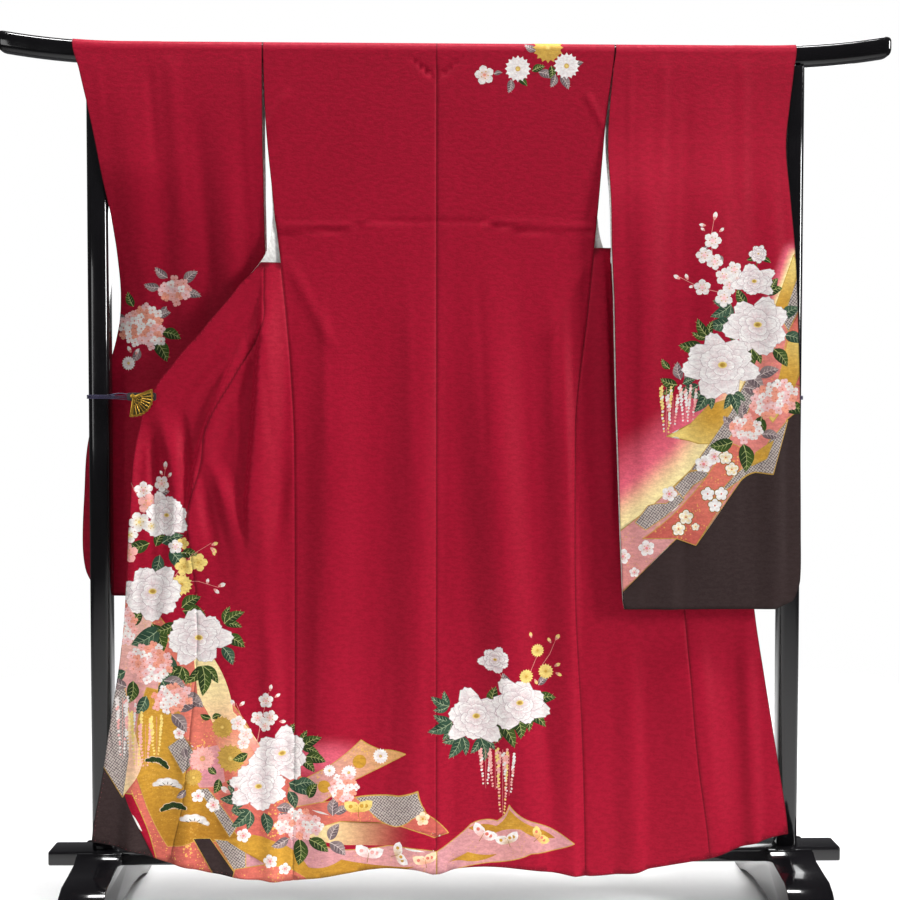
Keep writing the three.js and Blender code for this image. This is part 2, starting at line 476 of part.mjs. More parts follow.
function barPiece() {
  const geometry = extrude(rounded(BAR.depth, BAR.top - BAR.bottom, BAR.round, 2), BAR.length);
  geometry.rotateX(Math.PI / 2).rotateZ(Math.PI / 2);
  return geometry.translate(-BAR.length / 2, 0, (BAR.top + BAR.bottom) / 2);
}

// A foot's side outline, in y and z: a shoulder each side of the crossbar, a long back falling steeply to
// the toes, and an arch. The crossbar lies in a slot that is open at the top.
function footPiece(x) {
  const { half, top, shoulder, arch, pad, width } = FOOT;
  const back = (s) => [
    [s * shoulder, top], [s * (shoulder + 7), top - 7], [s * (shoulder + 18), top - 12], [s * 105, top - 19],
    [s * 143, top - 24], [s * 163, top - 36], [s * 181, top - 56], [s * 199, top - 80], [s * 213, top - 103],
    [s * (half - 1), 6], [s * half, 0],
  ];
  const under = (s) => [[s * (half - pad), 0], [s * 150, arch * 0.45], [s * 112, arch * 0.78], [s * 60, arch]];
  const outline = [...back(1), ...under(1), ...under(-1).reverse(), ...back(-1).reverse()];
  const shape = new THREE.Shape(outline.map(([y, z]) => new THREE.Vector2(y, z)));
  const geometry = extrude(shape, width).rotateX(Math.PI / 2).rotateZ(Math.PI / 2).translate(x - width / 2, 0, 0);
  const cutter = 2 * (BAR.top - BAR.bottom); // taller than the slot, to open it
  const slot = new THREE.BoxGeometry(width * 2, BAR.depth + 2 * CLEAR, cutter);
  slot.translate(x, 0, BAR.bottom - CLEAR + cutter / 2);
  return subtract(geometry, slot);
}

function manifold(geometry) {
  const bare = geometry.clone();
  for (const name of ["normal", "uv"]) bare.deleteAttribute(name);
  const merged = mergeVertices(bare, 1e-4);
  const vertProperties = Float32Array.from(merged.getAttribute("position").array);
  return new wasm.Manifold(new wasm.Mesh({ numProp: 3, vertProperties, triVerts: Uint32Array.from(merged.index.array) }));
}

function fromManifold(solid) {
  const mesh = solid.getMesh();
  const geometry = closed(Array.from(mesh.vertProperties), Array.from(mesh.triVerts));
  geometry.computeVertexNormals();
  return geometry;
}
const subtract = (a, b) => fromManifold(manifold(a).subtract(manifold(b)));
const join = (...pieces) => fromManifold(pieces.map(manifold).reduce((sum, piece) => sum.add(piece)));

// ---- clips, which hold the corner of each okumi to its post ---------------------------------------------------
// A clip bites at x of its tip and z of its middle, with its jaws at the y of near and far.
const CLIP = { height: 15, reach: 30, tail: 24, wall: 3.2, round: 4 };
const CORD = { radius: 1.7, strands: 3, pitch: 3, steps: 26 };

const clipLeft = { side: -1, tipX: -545, z: 987, near: -44, far: -33.5 };
const clipRight = { side: 1, tipX: 518, z: 987, near: -36.5, far: -25.5 };

function clipPiece({ side, tipX, z, near, far }) {
  const edge = tipX + side * CLIP.reach;
  const end = edge + side * CLIP.tail;
  const box = (x0, x1, y0, y1, height) => {
    const shape = rounded(Math.abs(x1 - x0), height, Math.min(height / 2 - 0.5, CLIP.round));
    const geometry = extrude(shape, y1 - y0).rotateX(Math.PI / 2);
    return geometry.translate((x0 + x1) / 2, y1, z);
  };
  const front = box(tipX, end, near - CLIP.wall, near, CLIP.height);
  const rear = box(tipX, end, far, far + CLIP.wall, CLIP.height);
  const bridge = box(edge + side * 2, end, near - 1, far + 1, CLIP.height - 3);
  return join(front, rear, bridge);
}

// Strands side by side, from the clip's end round the post and back to the clip.
function cordPiece({ side, tipX, z, near, far }) {
  const { radius, strands, pitch, steps } = CORD;
  const end = tipX + side * (CLIP.reach + CLIP.tail + 2 * CLEAR);
  const [inner, outer] = [POST.centre - POST.width / 2, POST.centre + POST.width / 2];
  const gap = radius + CLEAR;
  const half = POST.depth / 2 + gap;
  const [a, b] = [near + 1, far + 1];
  const route = [
    [end, a], [end + side * 4, a], [side * (inner - 8), mix(a, -half, 0.75)], [side * (inner + 8), -half - 0.6],
    [side * POST.centre, -half], [side * (outer - 8), -half], [side * (outer + gap - 1), -half + 5],
    [side * (outer + gap), 0], [side * (outer + gap - 1), half - 5], [side * (outer - 8), half],
    [side * POST.centre, half], [side * (inner + 8), half], [side * (inner - gap + 1), half - 5],
    [side * (inner - gap), 0], [side * (inner - gap - 1), -8],
    [mix(side * (inner - gap), end, 0.5), mix(-8, b, 0.6)], [end + side * 4, b], [end, b],
  ];
  const path = new THREE.CatmullRomCurve3(route.map(([x, y]) => vec(x, y, z)), false, "centripetal");
  const lobe = (k, turn) => range(3).map((i) => {
    const t = THREE.MathUtils.degToRad(turn + 45 + 45 * i);
    const middle = (k - (strands - 1) / 2) * pitch;
    return new THREE.Vector2(middle * (turn ? -1 : 1) - radius * Math.cos(t) * -1, radius * Math.sin(t));
  });
  const outline = [0, 180].flatMap((turn) => range(strands).reverse().flatMap((k) => lobe(k, turn)));
  return new THREE.ExtrudeGeometry(new THREE.Shape(outline), { steps, extrudePath: path, bevelEnabled: false });
}

// A folded-fan ornament on the front jaw: a scalloped leaf of ribs and a round pivot.
const FAN = { radius: 37, from: 22, to: -100, ribs: 9, thick: 2.2, pivotX: -586, pivotZ: 986, pin: 3.4 };
function fanPiece() {
  const { radius, from, to, ribs, thick, pivotX, pivotZ, pin } = FAN;
  const shape = new THREE.Shape();
  shape.moveTo(-2, 2);
  for (const k of range(ribs * 2 + 1)) {
    const t = THREE.MathUtils.degToRad(mix(from, to, k / (ribs * 2)));
    const reach = radius * (k % 2 ? 1 : 0.93);
    shape.lineTo(reach * Math.cos(t), reach * Math.sin(t));
  }
  shape.closePath();
  const leaf = extrude(shape, thick).rotateX(Math.PI / 2).translate(pivotX, thick, pivotZ);
  const knob = new THREE.CylinderGeometry(pin, pin, thick + 1.4, 10).translate(pivotX + 3, 0, 0);
  knob.translate(0, thick / 2 - 0.7, pivotZ - 2.5);
  const ridges = range(ribs).map((k) => {
    const t = THREE.MathUtils.degToRad(mix(from, to, (k + 0.5) / ribs));
    const rib = new THREE.BoxGeometry(radius - 10, 1.2, 1.3).translate((radius - 10) / 2 + 6, -0.3, 0);
    return rib.rotateY(-t).translate(pivotX, 0, pivotZ);
  });
  const back = clipLeft.near - CLIP.wall - CLEAR - thick;
  return join(leaf, knob, ...ridges).translate(0, back, 0);
}

// ---- materials and the list of nodes ---------------------------------------------------------------------
const material = (color, roughness, metalness = 0) => new THREE.MeshStandardMaterial({ color, roughness, metalness });
const SILK = material(0x9a142b, 0.62);
const LACQUER = material(0x0b0a0c, 0.16);
const GILT = material(0xb88a2e, 0.35, 0.9);
const BLACK_CLIP = material(0x16151a, 0.45);
const CORD_SILK = material(0x1d1a3a, 0.7);

const TOP_LOWER = 1240; // the lower fronts begin under the crease's upper end
const level = { left: TOP_LOWER, right: TOP_LOWER };
const garment = {
  back_left: layerPiece({ left: SIDE_LEFT, right: CENTRE, columns: 13 }),
  back_right: layerPiece({ left: CENTRE, right: SIDE_RIGHT, columns: 13 }),
  front_left_lower: layerPiece({
    left: OKUMI_SEAM_LEFT, right: SIDE_LEFT, columns: 9, top: { left: TOP_LOWER, right: TOP_LOWER + 6 },
  }),
  okumi_left: layerPiece({ left: OKUMI_EDGE_LEFT, right: OKUMI_SEAM_LEFT, columns: 8, top: level }),
  front_right_lower: layerPiece({
    left: SIDE_RIGHT, right: OKUMI_SEAM_RIGHT, columns: 8, top: { left: TOP_LOWER + 60, right: TOP_LOWER },
  }),
  okumi_right: layerPiece({ left: OKUMI_SEAM_RIGHT, right: OKUMI_EDGE_RIGHT, columns: 5, top: level }),
  front_left_upper: spannedPiece({ rows: FRONT_LEFT_UPPER, columns: 6, steps: 20, side: 1 }),
  front_right_upper: spannedPiece({ rows: FRONT_RIGHT_UPPER, columns: 6, steps: 20, side: 1 }),
  sleeve_left_back: spannedPiece({
    rows: SLEEVE_LEFT_BACK, columns: 8, steps: 22, side: -1, folds: SLEEVE_LEFT_FOLDS,
  }),
  sleeve_left_front: spannedPiece({ rows: SLEEVE_LEFT_FRONT, columns: 5, steps: 22, side: 1 }),
  sleeve_right_back: spannedPiece({
    rows: SLEEVE_RIGHT_BACK, columns: 8, steps: 20, side: -1, folds: SLEEVE_RIGHT_FOLDS,
  }),
  sleeve_right_front: spannedPiece({ rows: SLEEVE_RIGHT_FRONT, columns: 5, steps: 18, side: 1 }),
  collar_left: spannedPiece({
    rows: collarRows(FRONT_LEFT_UPPER, "r", 1), columns: 2, steps: 20, thickness: COLLAR_WALL,
  }),
  collar_right: spannedPiece({
    rows: collarRows(FRONT_RIGHT_UPPER, "l", -1), columns: 2, steps: 20, thickness: COLLAR_WALL,
  }),
  collar_back: spannedPiece({
    rows: [
      { lz: EDGE, lx: NECK.left + 1, ly: HANG, rz: EDGE, rx: NECK.right - 1, ry: HANG },
      { lz: EDGE - NECK.drop, lx: NECK.left + 14, ly: HANG + 3, rz: EDGE - NECK.drop, rx: NECK.right - 14, ry: HANG + 3 },
    ],
    columns: 6, steps: 4, side: 1,
  }),
};
const stand = {
  rail: railPiece(),
  post_left: postPiece(-POST.centre),
  post_right: postPiece(POST.centre),
  crossbar: barPiece(),
  foot_left: footPiece(-POST.centre),
  foot_right: footPiece(POST.centre),
};

const group = new THREE.Group();
function add(name, geometry, look) {
  const mesh = new THREE.Mesh(geometry, look);
  mesh.name = name;
  group.add(mesh);
}
for (const [name, geometry] of Object.entries(garment)) add(name, geometry, SILK);
for (const [name, geometry] of Object.entries(stand)) add(name, geometry, LACQUER);
add("clip_left", clipPiece(clipLeft), BLACK_CLIP);
add("clip_right", clipPiece(clipRight), BLACK_CLIP);
add("cord_left", cordPiece(clipLeft), CORD_SILK);
add("cord_right", cordPiece(clipRight), CORD_SILK);
add("fan_left", fanPiece(), GILT);

export default group;
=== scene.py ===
"""A furisode kimono, seen from its back, spread on a black lacquered kimono stand.

Sizes and places are in millimetres, with +Z up, until MM turns them to metres for a mesh, a curve or a node.
The back of the garment faces -Y, and "left" is the wearer's left, at -X. The cloth is drawn flat, panel by
panel: the painted design is cut into each panel as closed shapes, and the panel is then hung.
"""
import math

import bmesh
import bpy
import numpy as np
from mathutils import Matrix, Vector
from mathutils.geometry import delaunay_2d_cdt


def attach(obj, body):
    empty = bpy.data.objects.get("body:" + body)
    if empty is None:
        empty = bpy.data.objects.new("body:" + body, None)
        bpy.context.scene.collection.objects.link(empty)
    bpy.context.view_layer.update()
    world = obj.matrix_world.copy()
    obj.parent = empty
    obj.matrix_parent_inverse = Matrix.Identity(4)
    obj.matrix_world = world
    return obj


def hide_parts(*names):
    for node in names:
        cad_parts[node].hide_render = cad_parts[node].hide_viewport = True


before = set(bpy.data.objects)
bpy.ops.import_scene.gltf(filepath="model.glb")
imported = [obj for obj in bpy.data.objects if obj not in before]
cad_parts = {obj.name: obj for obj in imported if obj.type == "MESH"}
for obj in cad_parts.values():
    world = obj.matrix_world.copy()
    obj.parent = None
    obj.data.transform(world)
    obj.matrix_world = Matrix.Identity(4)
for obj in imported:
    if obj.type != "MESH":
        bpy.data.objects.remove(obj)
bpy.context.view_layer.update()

MM = 0.001
TAU = math.tau


# ---- numbers and tables --------------------------------------------------------------------------
def mix(a, b, t):
    return a + (b - a) * t


def clamp(t):
    return np.clip(t, 0.0, 1.0)


def smooth(start, end, t):
    s = clamp((t - start) / (end - start))
    return s * s * (3 - 2 * s)


def table(columns, *rows):
    """A short table: named columns, a row for each section."""
    return {name: np.array([row[i] for row in rows], float) for i, name in enumerate(columns.split())}


def read(rows, place, name):
    """A column read at places along its rows, as a smooth curve through the rows."""
    column = rows[name]
    last = len(column) - 1
    i = np.clip(np.floor(place).astype(int), 0, last - 1)
    t = place - i
    before, a, b, after = (column[np.clip(i + k, 0, last)] for k in (-1, 0, 1, 2))
    slope_a, slope_b = (b - before) / 2, (after - a) / 2
    return mix(a, b, t * t * (3 - 2 * t)) + t * (1 - t) * (slope_a * (1 - t) - slope_b * t)


def at(rows, key, value, name):
    """The column `name` where the column `key`, which only rises or only falls, has the value."""
    keys = rows[key]
    sign = 1 if keys[-1] > keys[0] else -1
    place = np.interp(sign * np.asarray(value, float), sign * keys, np.arange(len(keys)))
    return read(rows, place, name)


# ---- the stand's sizes ---------------------------------------------------------------------------
RAIL_TOP, RAIL_DEPTH, RAIL_HEIGHT, RAIL_ROUND = 1655, 40, 38, 12
RAIL_LIFT, LIFT_FROM, RAIL_HALF = 21, 600, 845
RAIL_TIP, TIP_SHRINK = 12, 0.34  # how long the rounded tips are, and how much thinner at the very end
RAIL_SLACK = 0.35  # how far the cloth lies off the rail where the rail rises
POST_X, POST_WIDTH, POST_ROUND = 660, 40, 11
BAR_HALF, BAR_DEPTH, BAR_BOTTOM, BAR_TOP = 760, 60, 93.5, 120.5
FOOT_WIDTH, FOOT_HALF, FOOT_TOP, FOOT_SHOULDER, FOOT_ARCH, FOOT_PAD = 84, 222, 119.5, 43, 25, 42
FOOT_ROUND = 3
CLEAR = 0.3  # between parts of the stand that meet, and round the clips and the fan


def rail_top(x):
    beyond = np.maximum(0, (np.abs(x) - LIFT_FROM) / (RAIL_HALF - LIFT_FROM))
    return RAIL_TOP + RAIL_LIFT * beyond**2


# ---- the cut lines of the garment, as x at each height -------------------------------------------
CLOTH = 1.2  # silk and lining together
HANG = 21.1  # how far from the rail's middle the cloth hangs
EDGE = RAIL_TOP - RAIL_ROUND  # where the cloth leaves the rail's rounding
CENTRE_X = -20
OVER_FLAT = RAIL_DEPTH / 2 - RAIL_ROUND
OVER_RADIUS = HANG - OVER_FLAT
OVER = OVER_FLAT + OVER_RADIUS * math.pi / 2  # length of cloth from the shoulder line to EDGE
SHOULDER = EDGE + OVER  # the flat height of the shoulder line

CENTRE = table("z x", (1700, CENTRE_X), (0, CENTRE_X))
SIDE_LEFT = table(
    "z x", (1655, -347), (1492, -341), (1322, -325), (1249, -315), (1156, -305), (1055, -296),
    (906, -288), (375, -288), (60, -292))
SIDE_RIGHT = table(
    "z x", (1655, 317), (1498, 299), (1324, 284), (1133, 265), (982, 247), (900, 243), (602, 244),
    (346, 258), (63, 265))
OKUMI_SEAM_LEFT = table(
    "z x", (1240, -344), (1180, -344), (1121, -347), (1035, -394), (933, -449), (861, -462), (765, -487),
    (680, -480), (605, -472), (500, -472), (374, -483), (215, -499), (107, -523))
OKUMI_EDGE_LEFT = table(
    "z x", (1252, -344), (1200, -389), (1107, -464), (1041, -520), (998, -552), (950, -573), (864, -588),
    (737, -597), (593, -606), (514, -614), (373, -635), (276, -650), (146, -671))
OKUMI_SEAM_RIGHT = table(
    "z x", (1240, 310), (1120, 331), (960, 400), (760, 440), (581, 453), (457, 463), (308, 475), (113, 499))
OKUMI_EDGE_RIGHT = table(
    "z x", (1252, 311), (1200, 352), (1107, 432), (1041, 488), (998, 523), (950, 549), (860, 564),
    (700, 577), (580, 587), (440, 609), (312, 630), (151, 653))
HEM = table(
    "x z", (-671, 147), (-592, 129), (-523, 106), (-449, 87), (-339, 71), (-292, 69), (-224, 80), (-171, 86),
    (-116, 92), (-62, 93), (-20, 82), (20, 90), (63, 93), (103, 92), (158, 90), (212, 83), (265, 74),
    (328, 78), (383, 87), (499, 112), (548, 125), (603, 141), (653, 153))

# A fold runs down through three places. left and right are the widths of its flanks, rise its height toward
# -Y (a valley is negative), and end how much of that height it keeps at its last place.
FOLD_COLUMNS = "top_x top_z mid_x mid_z end_x end_z left right rise end"
FOLDS = table(
    FOLD_COLUMNS,
    (-40, 1330, -53, 800, -57, 60, 72, 52, 12, 1.3),
    (84, 1330, 97, 800, 172, 60, 78, 66, 17, 0.8),
    (210, 1240, 224, 880, 240, 60, 52, 24, 11, 1.2),
    (-215, 1270, -222, 800, -232, 60, 54, 82, 13, 1.0),
    (-20, 620, -16, 380, -20, 60, 26, 34, 5, 1.6),
    (290, 1330, 303, 1100, 312, 840, 40, 10, 7, 0.5),
    (468, 592, 488, 380, 512, 60, 130, 58, 20, 0.9),
    (566, 592, 576, 400, 590, 60, 24, 26, 8, 1.0),
    (345, 592, 352, 380, 360, 60, 44, 30, 8, 1.3),
    (-339, 1262, -352, 1040, -372, 790, 12, 58, 18, 0.8),
    (-344, 1150, -446, 945, -484, 745, 9, 46, 14, 0.6),
    (-446, 890, -421, 800, -392, 680, 20, 30, 9, 0.3),
    (-462, 900, -456, 793, -430, 670, 18, 18, -6, 0.2),
    (-300, 900, -316, 793, -334, 640, 26, 24, -7, 0.2),
    (-574, 975, -588, 850, -594, 640, 12, 16, 9, 0.3),
    (-562, 965, -552, 845, -556, 700, 14, 16, -9, 0.3),
    (-540, 975, -516, 860, -530, 600, 22, 34, 11, 0.5),
    (-505, 985, -488, 880, -500, 740, 20, 12, -7, 0.5),
    (-560, 560, -580, 330, -600, 120, 30, 40, 8, 1.2),
    (-410, 560, -400, 330, -390, 60, 45, 45, 9, 0.9),
    (-330, 620, -326, 380, -330, 60, 30, 24, 7, 1.2),
    (-480, 420, -486, 260, -500, 60, 34, 26, 7, 1.0))


def fold_height(folds, x, z):
    """The height of all the folds at each x and z."""
    total = np.zeros_like(x)
    for i in range(len(folds["rise"])):
        f = {name: column[i] for name, column in folds.items()}
        top, mid, end = f["top_z"], f["mid_z"], f["end_z"]
        below = np.maximum(z, end)
        line = (
            f["top_x"] * (below - mid) * (below - end) / ((top - mid) * (top - end))
            + f["mid_x"] * (below - top) * (below - end) / ((mid - top) * (mid - end))
            + f["end_x"] * (below - top) * (below - mid) / ((end - top) * (end - mid)))
        away = x - line
        reach = np.abs(away) / np.where(away < 0, f["left"], f["right"])
        grown = np.where(z > mid, smooth(top, mid, z), mix(1, f["end"], smooth(mid, end, z)))
        faded = 1 - smooth(0, 120, end - z) if f["end"] < 1 else 1.0
        bump = (1 + np.cos(math.pi * np.minimum(reach, 1))) / 2
        total += np.where(z < top, f["rise"] * grown * faded * bump, 0)
    return total


# Small creases of the hung cloth: the tuck line, the creases under the collar and soft dents. A crease goes
# from one end to the other, and is this wide and this high.
CREASES = table(
    "x0 z0 x1 z1 width rise",
    (-324, 1294, -277, 1296, 7, -1.0), (-277, 1296, -193, 1303, 8, -1.2), (-193, 1303, -146, 1316, 8, -1.0),
    (-146, 1316, -62, 1319, 7, -0.8), (62, 1319, 99, 1310, 7, -1.0), (99, 1310, 156, 1299, 8, -1.2),
    (156, 1299, 213, 1296, 8, -1.1), (213, 1296, 283, 1298, 7, -1.0), (-62, 1319, 62, 1319, 9, -0.6),
    (-76, 1632, -29, 1591, 9, -2.4), (39, 1636, -12, 1591, 9, -2.2), (-324, 1306, -150, 1312, 14, 1.0),
    (90, 1318, 283, 1308, 14, 1.0), (-341, 1488, -300, 1560, 16, 1.4), (299, 1494, 262, 1560, 16, 1.4),
    (-300, 1240, -215, 1080, 26, 2.2), (262, 1240, 180, 1085, 26, 2.2), (-235, 1180, -228, 900, 20, 1.4),
    (-75, 1180, -66, 820, 22, 1.3), (60, 1200, 74, 860, 20, -1.4), (200, 1150, 196, 930, 18, 1.3),
    (-245, 620, -252, 330, 24, 1.8), (-110, 480, -130, 240, 22, 1.6), (100, 560, 118, 300, 26, 1.8),
    (178, 420, 196, 240, 22, -1.8), (300, 900, 330, 640, 24, 1.6), (380, 880, 400, 640, 24, -1.5),
    (470, 900, 500, 640, 26, 1.6), (500, 520, 520, 240, 24, -1.6), (-400, 1150, -470, 1010, 14, 1.5),
    (-425, 1060, -500, 960, 12, -1.4), (-350, 1100, -330, 900, 16, -1.6), (-400, 980, -396, 850, 18, 1.8),
    (-520, 900, -528, 700, 18, -1.4), (-560, 640, -575, 470, 20, 1.5), (-340, 620, -338, 380, 24, 1.6))


def crease_height(creases, x, z):
    total = np.zeros_like(x)
    for i in range(len(creases["rise"])):
        c = {name: column[i] for name, column in creases.items()}
        run = np.array([c["x1"] - c["x0"], c["z1"] - c["z0"]])
        length = math.hypot(*run)
        along = ((x - c["x0"]) * run[0] + (z - c["z0"]) * run[1]) / length**2
        off = ((x - c["x0"]) * run[1] - (z - c["z0"]) * run[0]) / length
        taper = smooth(-0.15, 0.2, along) * smooth(1.15, 0.8, along)
        total += c["rise"] * taper * np.exp(-((off / (c["width"] / 2)) ** 2))
    return total


SEAMS = (  # cut line, its highest and lowest sewn point
    (CENTRE, 1700, 0), (SIDE_LEFT, 1322, 0), (SIDE_RIGHT, 1324, 0),
    (OKUMI_SEAM_LEFT, 1230, 0), (OKUMI_SEAM_RIGHT, 1230, 0))
SEAM_DIP, SEAM_WIDE = 1.9, 3.0  # how deep and how wide a seam's dip is
FRONT_PULL = 9  # how far the left front is drawn outward
SWING, HEM_SWING = 15, 8  # how far the layer stands off lower down, and how much more at the hem
BAR_GAP, BAR_EASE = 3.5, 40  # how near the layer comes to the crossbar, and how softly it is held off


def seam_height(x, z):
    total = np.zeros_like(x)
    for line, top, bottom in SEAMS:
        off = x - at(line, "z", z, "x")
        sewn = np.where((z < top) & (z > bottom), 1.0, 0.0)
        total -= SEAM_DIP * sewn * np.exp(-((off / SEAM_WIDE) ** 2))
    return total


def layer_y(x, z):
    """The hanging layer, which is the backs, the lower fronts and the okumi."""
    swing = SWING * smooth(1500, 700, z) + HEM_SWING * smooth(500, 150, z)
    pulled = FRONT_PULL * smooth(300, 350, -x) * smooth(1330, 1230, z) * (1 - smooth(700, 300, z) * 0.4)
    fine = crease_height(CREASES, x, z) + seam_height(x, z)
    rises = fold_height(FOLDS, x, z)
    clear_of_stand = mix(HANG, BAR_DEPTH / 2 + BAR_GAP, smooth(320, 200, z))
    hung = HANG + swing + pulled + rises
    softness = BAR_EASE * smooth(700, 400, z)
    eased = (clear_of_stand + hung + np.sqrt((hung - clear_of_stand) ** 2 + softness)) / 2
    return -(eased + fine * smooth(EDGE, EDGE - 30, z))


def over_rail(x, height, side):
    """Places for flat heights above EDGE, where the cloth lies on the rail. side is -1 toward -Y."""
    top = rail_top(x) + np.where(np.abs(x) > LIFT_FROM - 60, RAIL_SLACK, 0)
    angle = np.minimum((height - EDGE) / OVER_RADIUS, math.pi / 2)
    flat = np.maximum(height - EDGE - OVER_RADIUS * math.pi / 2, 0)
    y = side * (OVER_FLAT + OVER_RADIUS * np.cos(angle) - flat)
    return np.stack([x, y, top - RAIL_ROUND + OVER_RADIUS * np.sin(angle)], -1)


def layer_place(x, z):
    hanging = np.stack([x, mix(-HANG, layer_y(x, z), smooth(EDGE, EDGE - 60, z)), z], -1)
    return np.where((z > EDGE)[..., None], over_rail(x, z, -1), hanging)


# ---- sleeves: two walls between the open inner edge and the cuff's edge --------------------------
# Each row gives the left end and the right end of a wall at one height.
SLEEVE_LEFT_BACK = table(
    "z lx ly rx ry", (1643, -703, -21.1, -348, -21.1), (1600, -690, -23, -348, -22),
    (1541, -676, -24.5, -348, -22), (1469, -661, -25, -348, -20), (1400, -648, -24, -347, -16),
    (1325, -634, -13, -346, -12), (1255, -627, 3, -345, -9), (1180, -625, 19, -344, -7),
    (1110, -634, 28, -344, -6), (1010, -664, 30.5, -344, -5), (900, -693, 30.5, -343, -4),
    (800, -701, 30.5, -343, -3), (702, -705, 30.5, -343, -2), (650, -699, 30.5, -343, 0),
    (616, -680, 30.5, -343, 3), (602, -646, 30, -343, 5))
SHUT = 2.3  # how far apart the two walls lie where they are sewn together
SLEEVE_LEFT_FRONT = table(
    "z lx ly rx ry", (1643, -703, 21.1, -348, 21.1), (1600, -692, 23, -348, 22), (1541, -684, 24, -348, 22),
    (1469, -660, 25, -348, 20), (1405, -641, 24, -347, 19), (1368, -637, 14, -347, 18.5),
    (1325, -634, -6.7, -346, 18), (1255, -627, 3 + SHUT, -345, 18), (1180, -625, 19 + SHUT, -344, 18),
    (1110, -634, 28 + SHUT, -344, 18), (1010, -664, 30.5 + SHUT, -344, 18),
    (900, -693, 30.5 + SHUT, -343, 18), (800, -701, 30.5 + SHUT, -343, 17),
    (702, -705, 30.5 + SHUT, -343, 15), (650, -699, 30.5 + SHUT, -343, 12), (616, -680, 30.5 + SHUT, -343, 9),
    (602, -646, 30 + SHUT, -343, 5 + SHUT))
SLEEVE_RIGHT_BACK = table(
    "z lx ly rx ry", (1643, 318.6, -21.1, 662, -21.1), (1612, 314, -22, 657, -23), (1540, 307, -24, 648, -26),
    (1462, 303, -29, 640, -32), (1359, 307, -44, 646, -44), (1262, 308, -53, 653, -53),
    (1171, 312, -58, 657, -58), (983, 316, -62, 663, -60), (882, 320, -63, 665, -60),
    (735, 325, -63, 667, -60), (640, 329, -62, 667, -59), (601, 331, -60, 654, -57),
    (587, 334, -59, 622, -57))
SLEEVE_RIGHT_FRONT = table(
    "z lx ly rx ry", (1643, 318.6, 21.1, 656, 21.1), (1612, 314, 22, 636, 22), (1540, 307, 20, 633, 7),
    (1462, 303, 2, 633, -14), (1359, 307, -24, 641, -38), (1262, 308, -40, 653, -53 + SHUT),
    (1171, 312, -43, 657, -58 + SHUT), (983, 316, -46, 663, -60 + SHUT), (882, 320, -48, 665, -60 + SHUT),
    (735, 325, -50, 667, -60 + SHUT), (640, 329, -53, 667, -59 + SHUT), (601, 331, -56, 654, -57 + SHUT),
    (587, 334, -59 + SHUT, 622, -57 + SHUT))
SLEEVE_LEFT_FOLDS = table(
    FOLD_COLUMNS, (-610, 1640, -590, 1300, -560, 760, 60, 70, 11, 0.6),
    (-420, 1600, -410, 1250, -420, 760, 50, 40, 9, 0.6), (-500, 1500, -505, 1200, -500, 760, 40, 60, 6, 1))
SLEEVE_RIGHT_FOLDS = table(
    FOLD_COLUMNS, (372, 1600, 366, 1250, 372, 720, 34, 60, 10, 0.8),
    (520, 1620, 500, 1200, 486, 700, 70, 80, 10, 0.6), (612, 1560, 616, 1150, 620, 680, 40, 30, 8, 1),
    (440, 1400, 430, 1000, 420, 680, 40, 30, 5, 1))
SLEEVE_CREASES = table(
    "x0 z0 x1 z1 width rise",
    (-655, 1600, -640, 1330, 20, 1.6), (-520, 1640, -500, 1300, 30, 1.8), (-470, 1500, -450, 1180, 26, -1.6),
    (-600, 1250, -560, 950, 26, -1.8), (-640, 1060, -650, 760, 24, 1.8), (-380, 1640, -372, 1350, 16, 1.3),
    (-560, 1600, -548, 1420, 18, -1.3), (-640, 1150, -600, 1060, 20, 1.4),
    (345, 1620, 340, 1240, 14, 1.6), (410, 1640, 402, 1380, 22, 1.5), (455, 1560, 440, 1200, 26, -1.4),
    (560, 1640, 556, 1330, 24, 1.7), (600, 1320, 590, 980, 26, -1.5), (352, 1180, 350, 820, 14, -1.4),
    (640, 1420, 648, 1080, 16, 1.6), (420, 980, 430, 700, 28, 1.5), (540, 900, 545, 660, 28, 1.4),
    (636, 900, 640, 640, 14, -1.4))


PINCH, PINCH_WIDTH = 0.55, 14  # how far a wall bends toward the other at a sewn edge, and over what width
SEWN_LEFT, SEWN_RIGHT = 1330, 1290  # the heights from which the outer edges are sewn


def sleeve_place(rows, folds, side, pinch, sewn_from):
    """Hangs a sleeve wall. pinch moves it toward its other wall along the sewn edges."""
    bottom = rows["z"][-1]
    outer = "lx" if rows["lx"][0] < -600 else "rx"

    def place(x, z):
        height = np.minimum(z, EDGE)
        left, right = at(rows, "z", height, "lx"), at(rows, "z", height, "rx")
        u = clamp((x - left) / (right - left))
        soft = (fold_height(folds, x, z) + crease_height(SLEEVE_CREASES, x, z)) if folds else 0
        soft = soft * np.sin(math.pi * u) ** 0.5 * smooth(EDGE, EDGE - 40, z)
        to_edge = np.abs(x - at(rows, "z", height, outer))
        closed = np.maximum(
            smooth(PINCH_WIDTH, 0, to_edge) * smooth(sewn_from, sewn_from - 40, z),
            smooth(PINCH_WIDTH, 0, z - bottom))
        y = mix(at(rows, "z", height, "ly"), at(rows, "z", height, "ry"), u) - soft + pinch * closed
        lifted = z + (rail_top(x) - RAIL_TOP) * smooth(1560, EDGE, z)
        hanging = np.stack([x, y, lifted], -1)
        return np.where((z > EDGE)[..., None], over_rail(x, z, side), hanging)

    return place


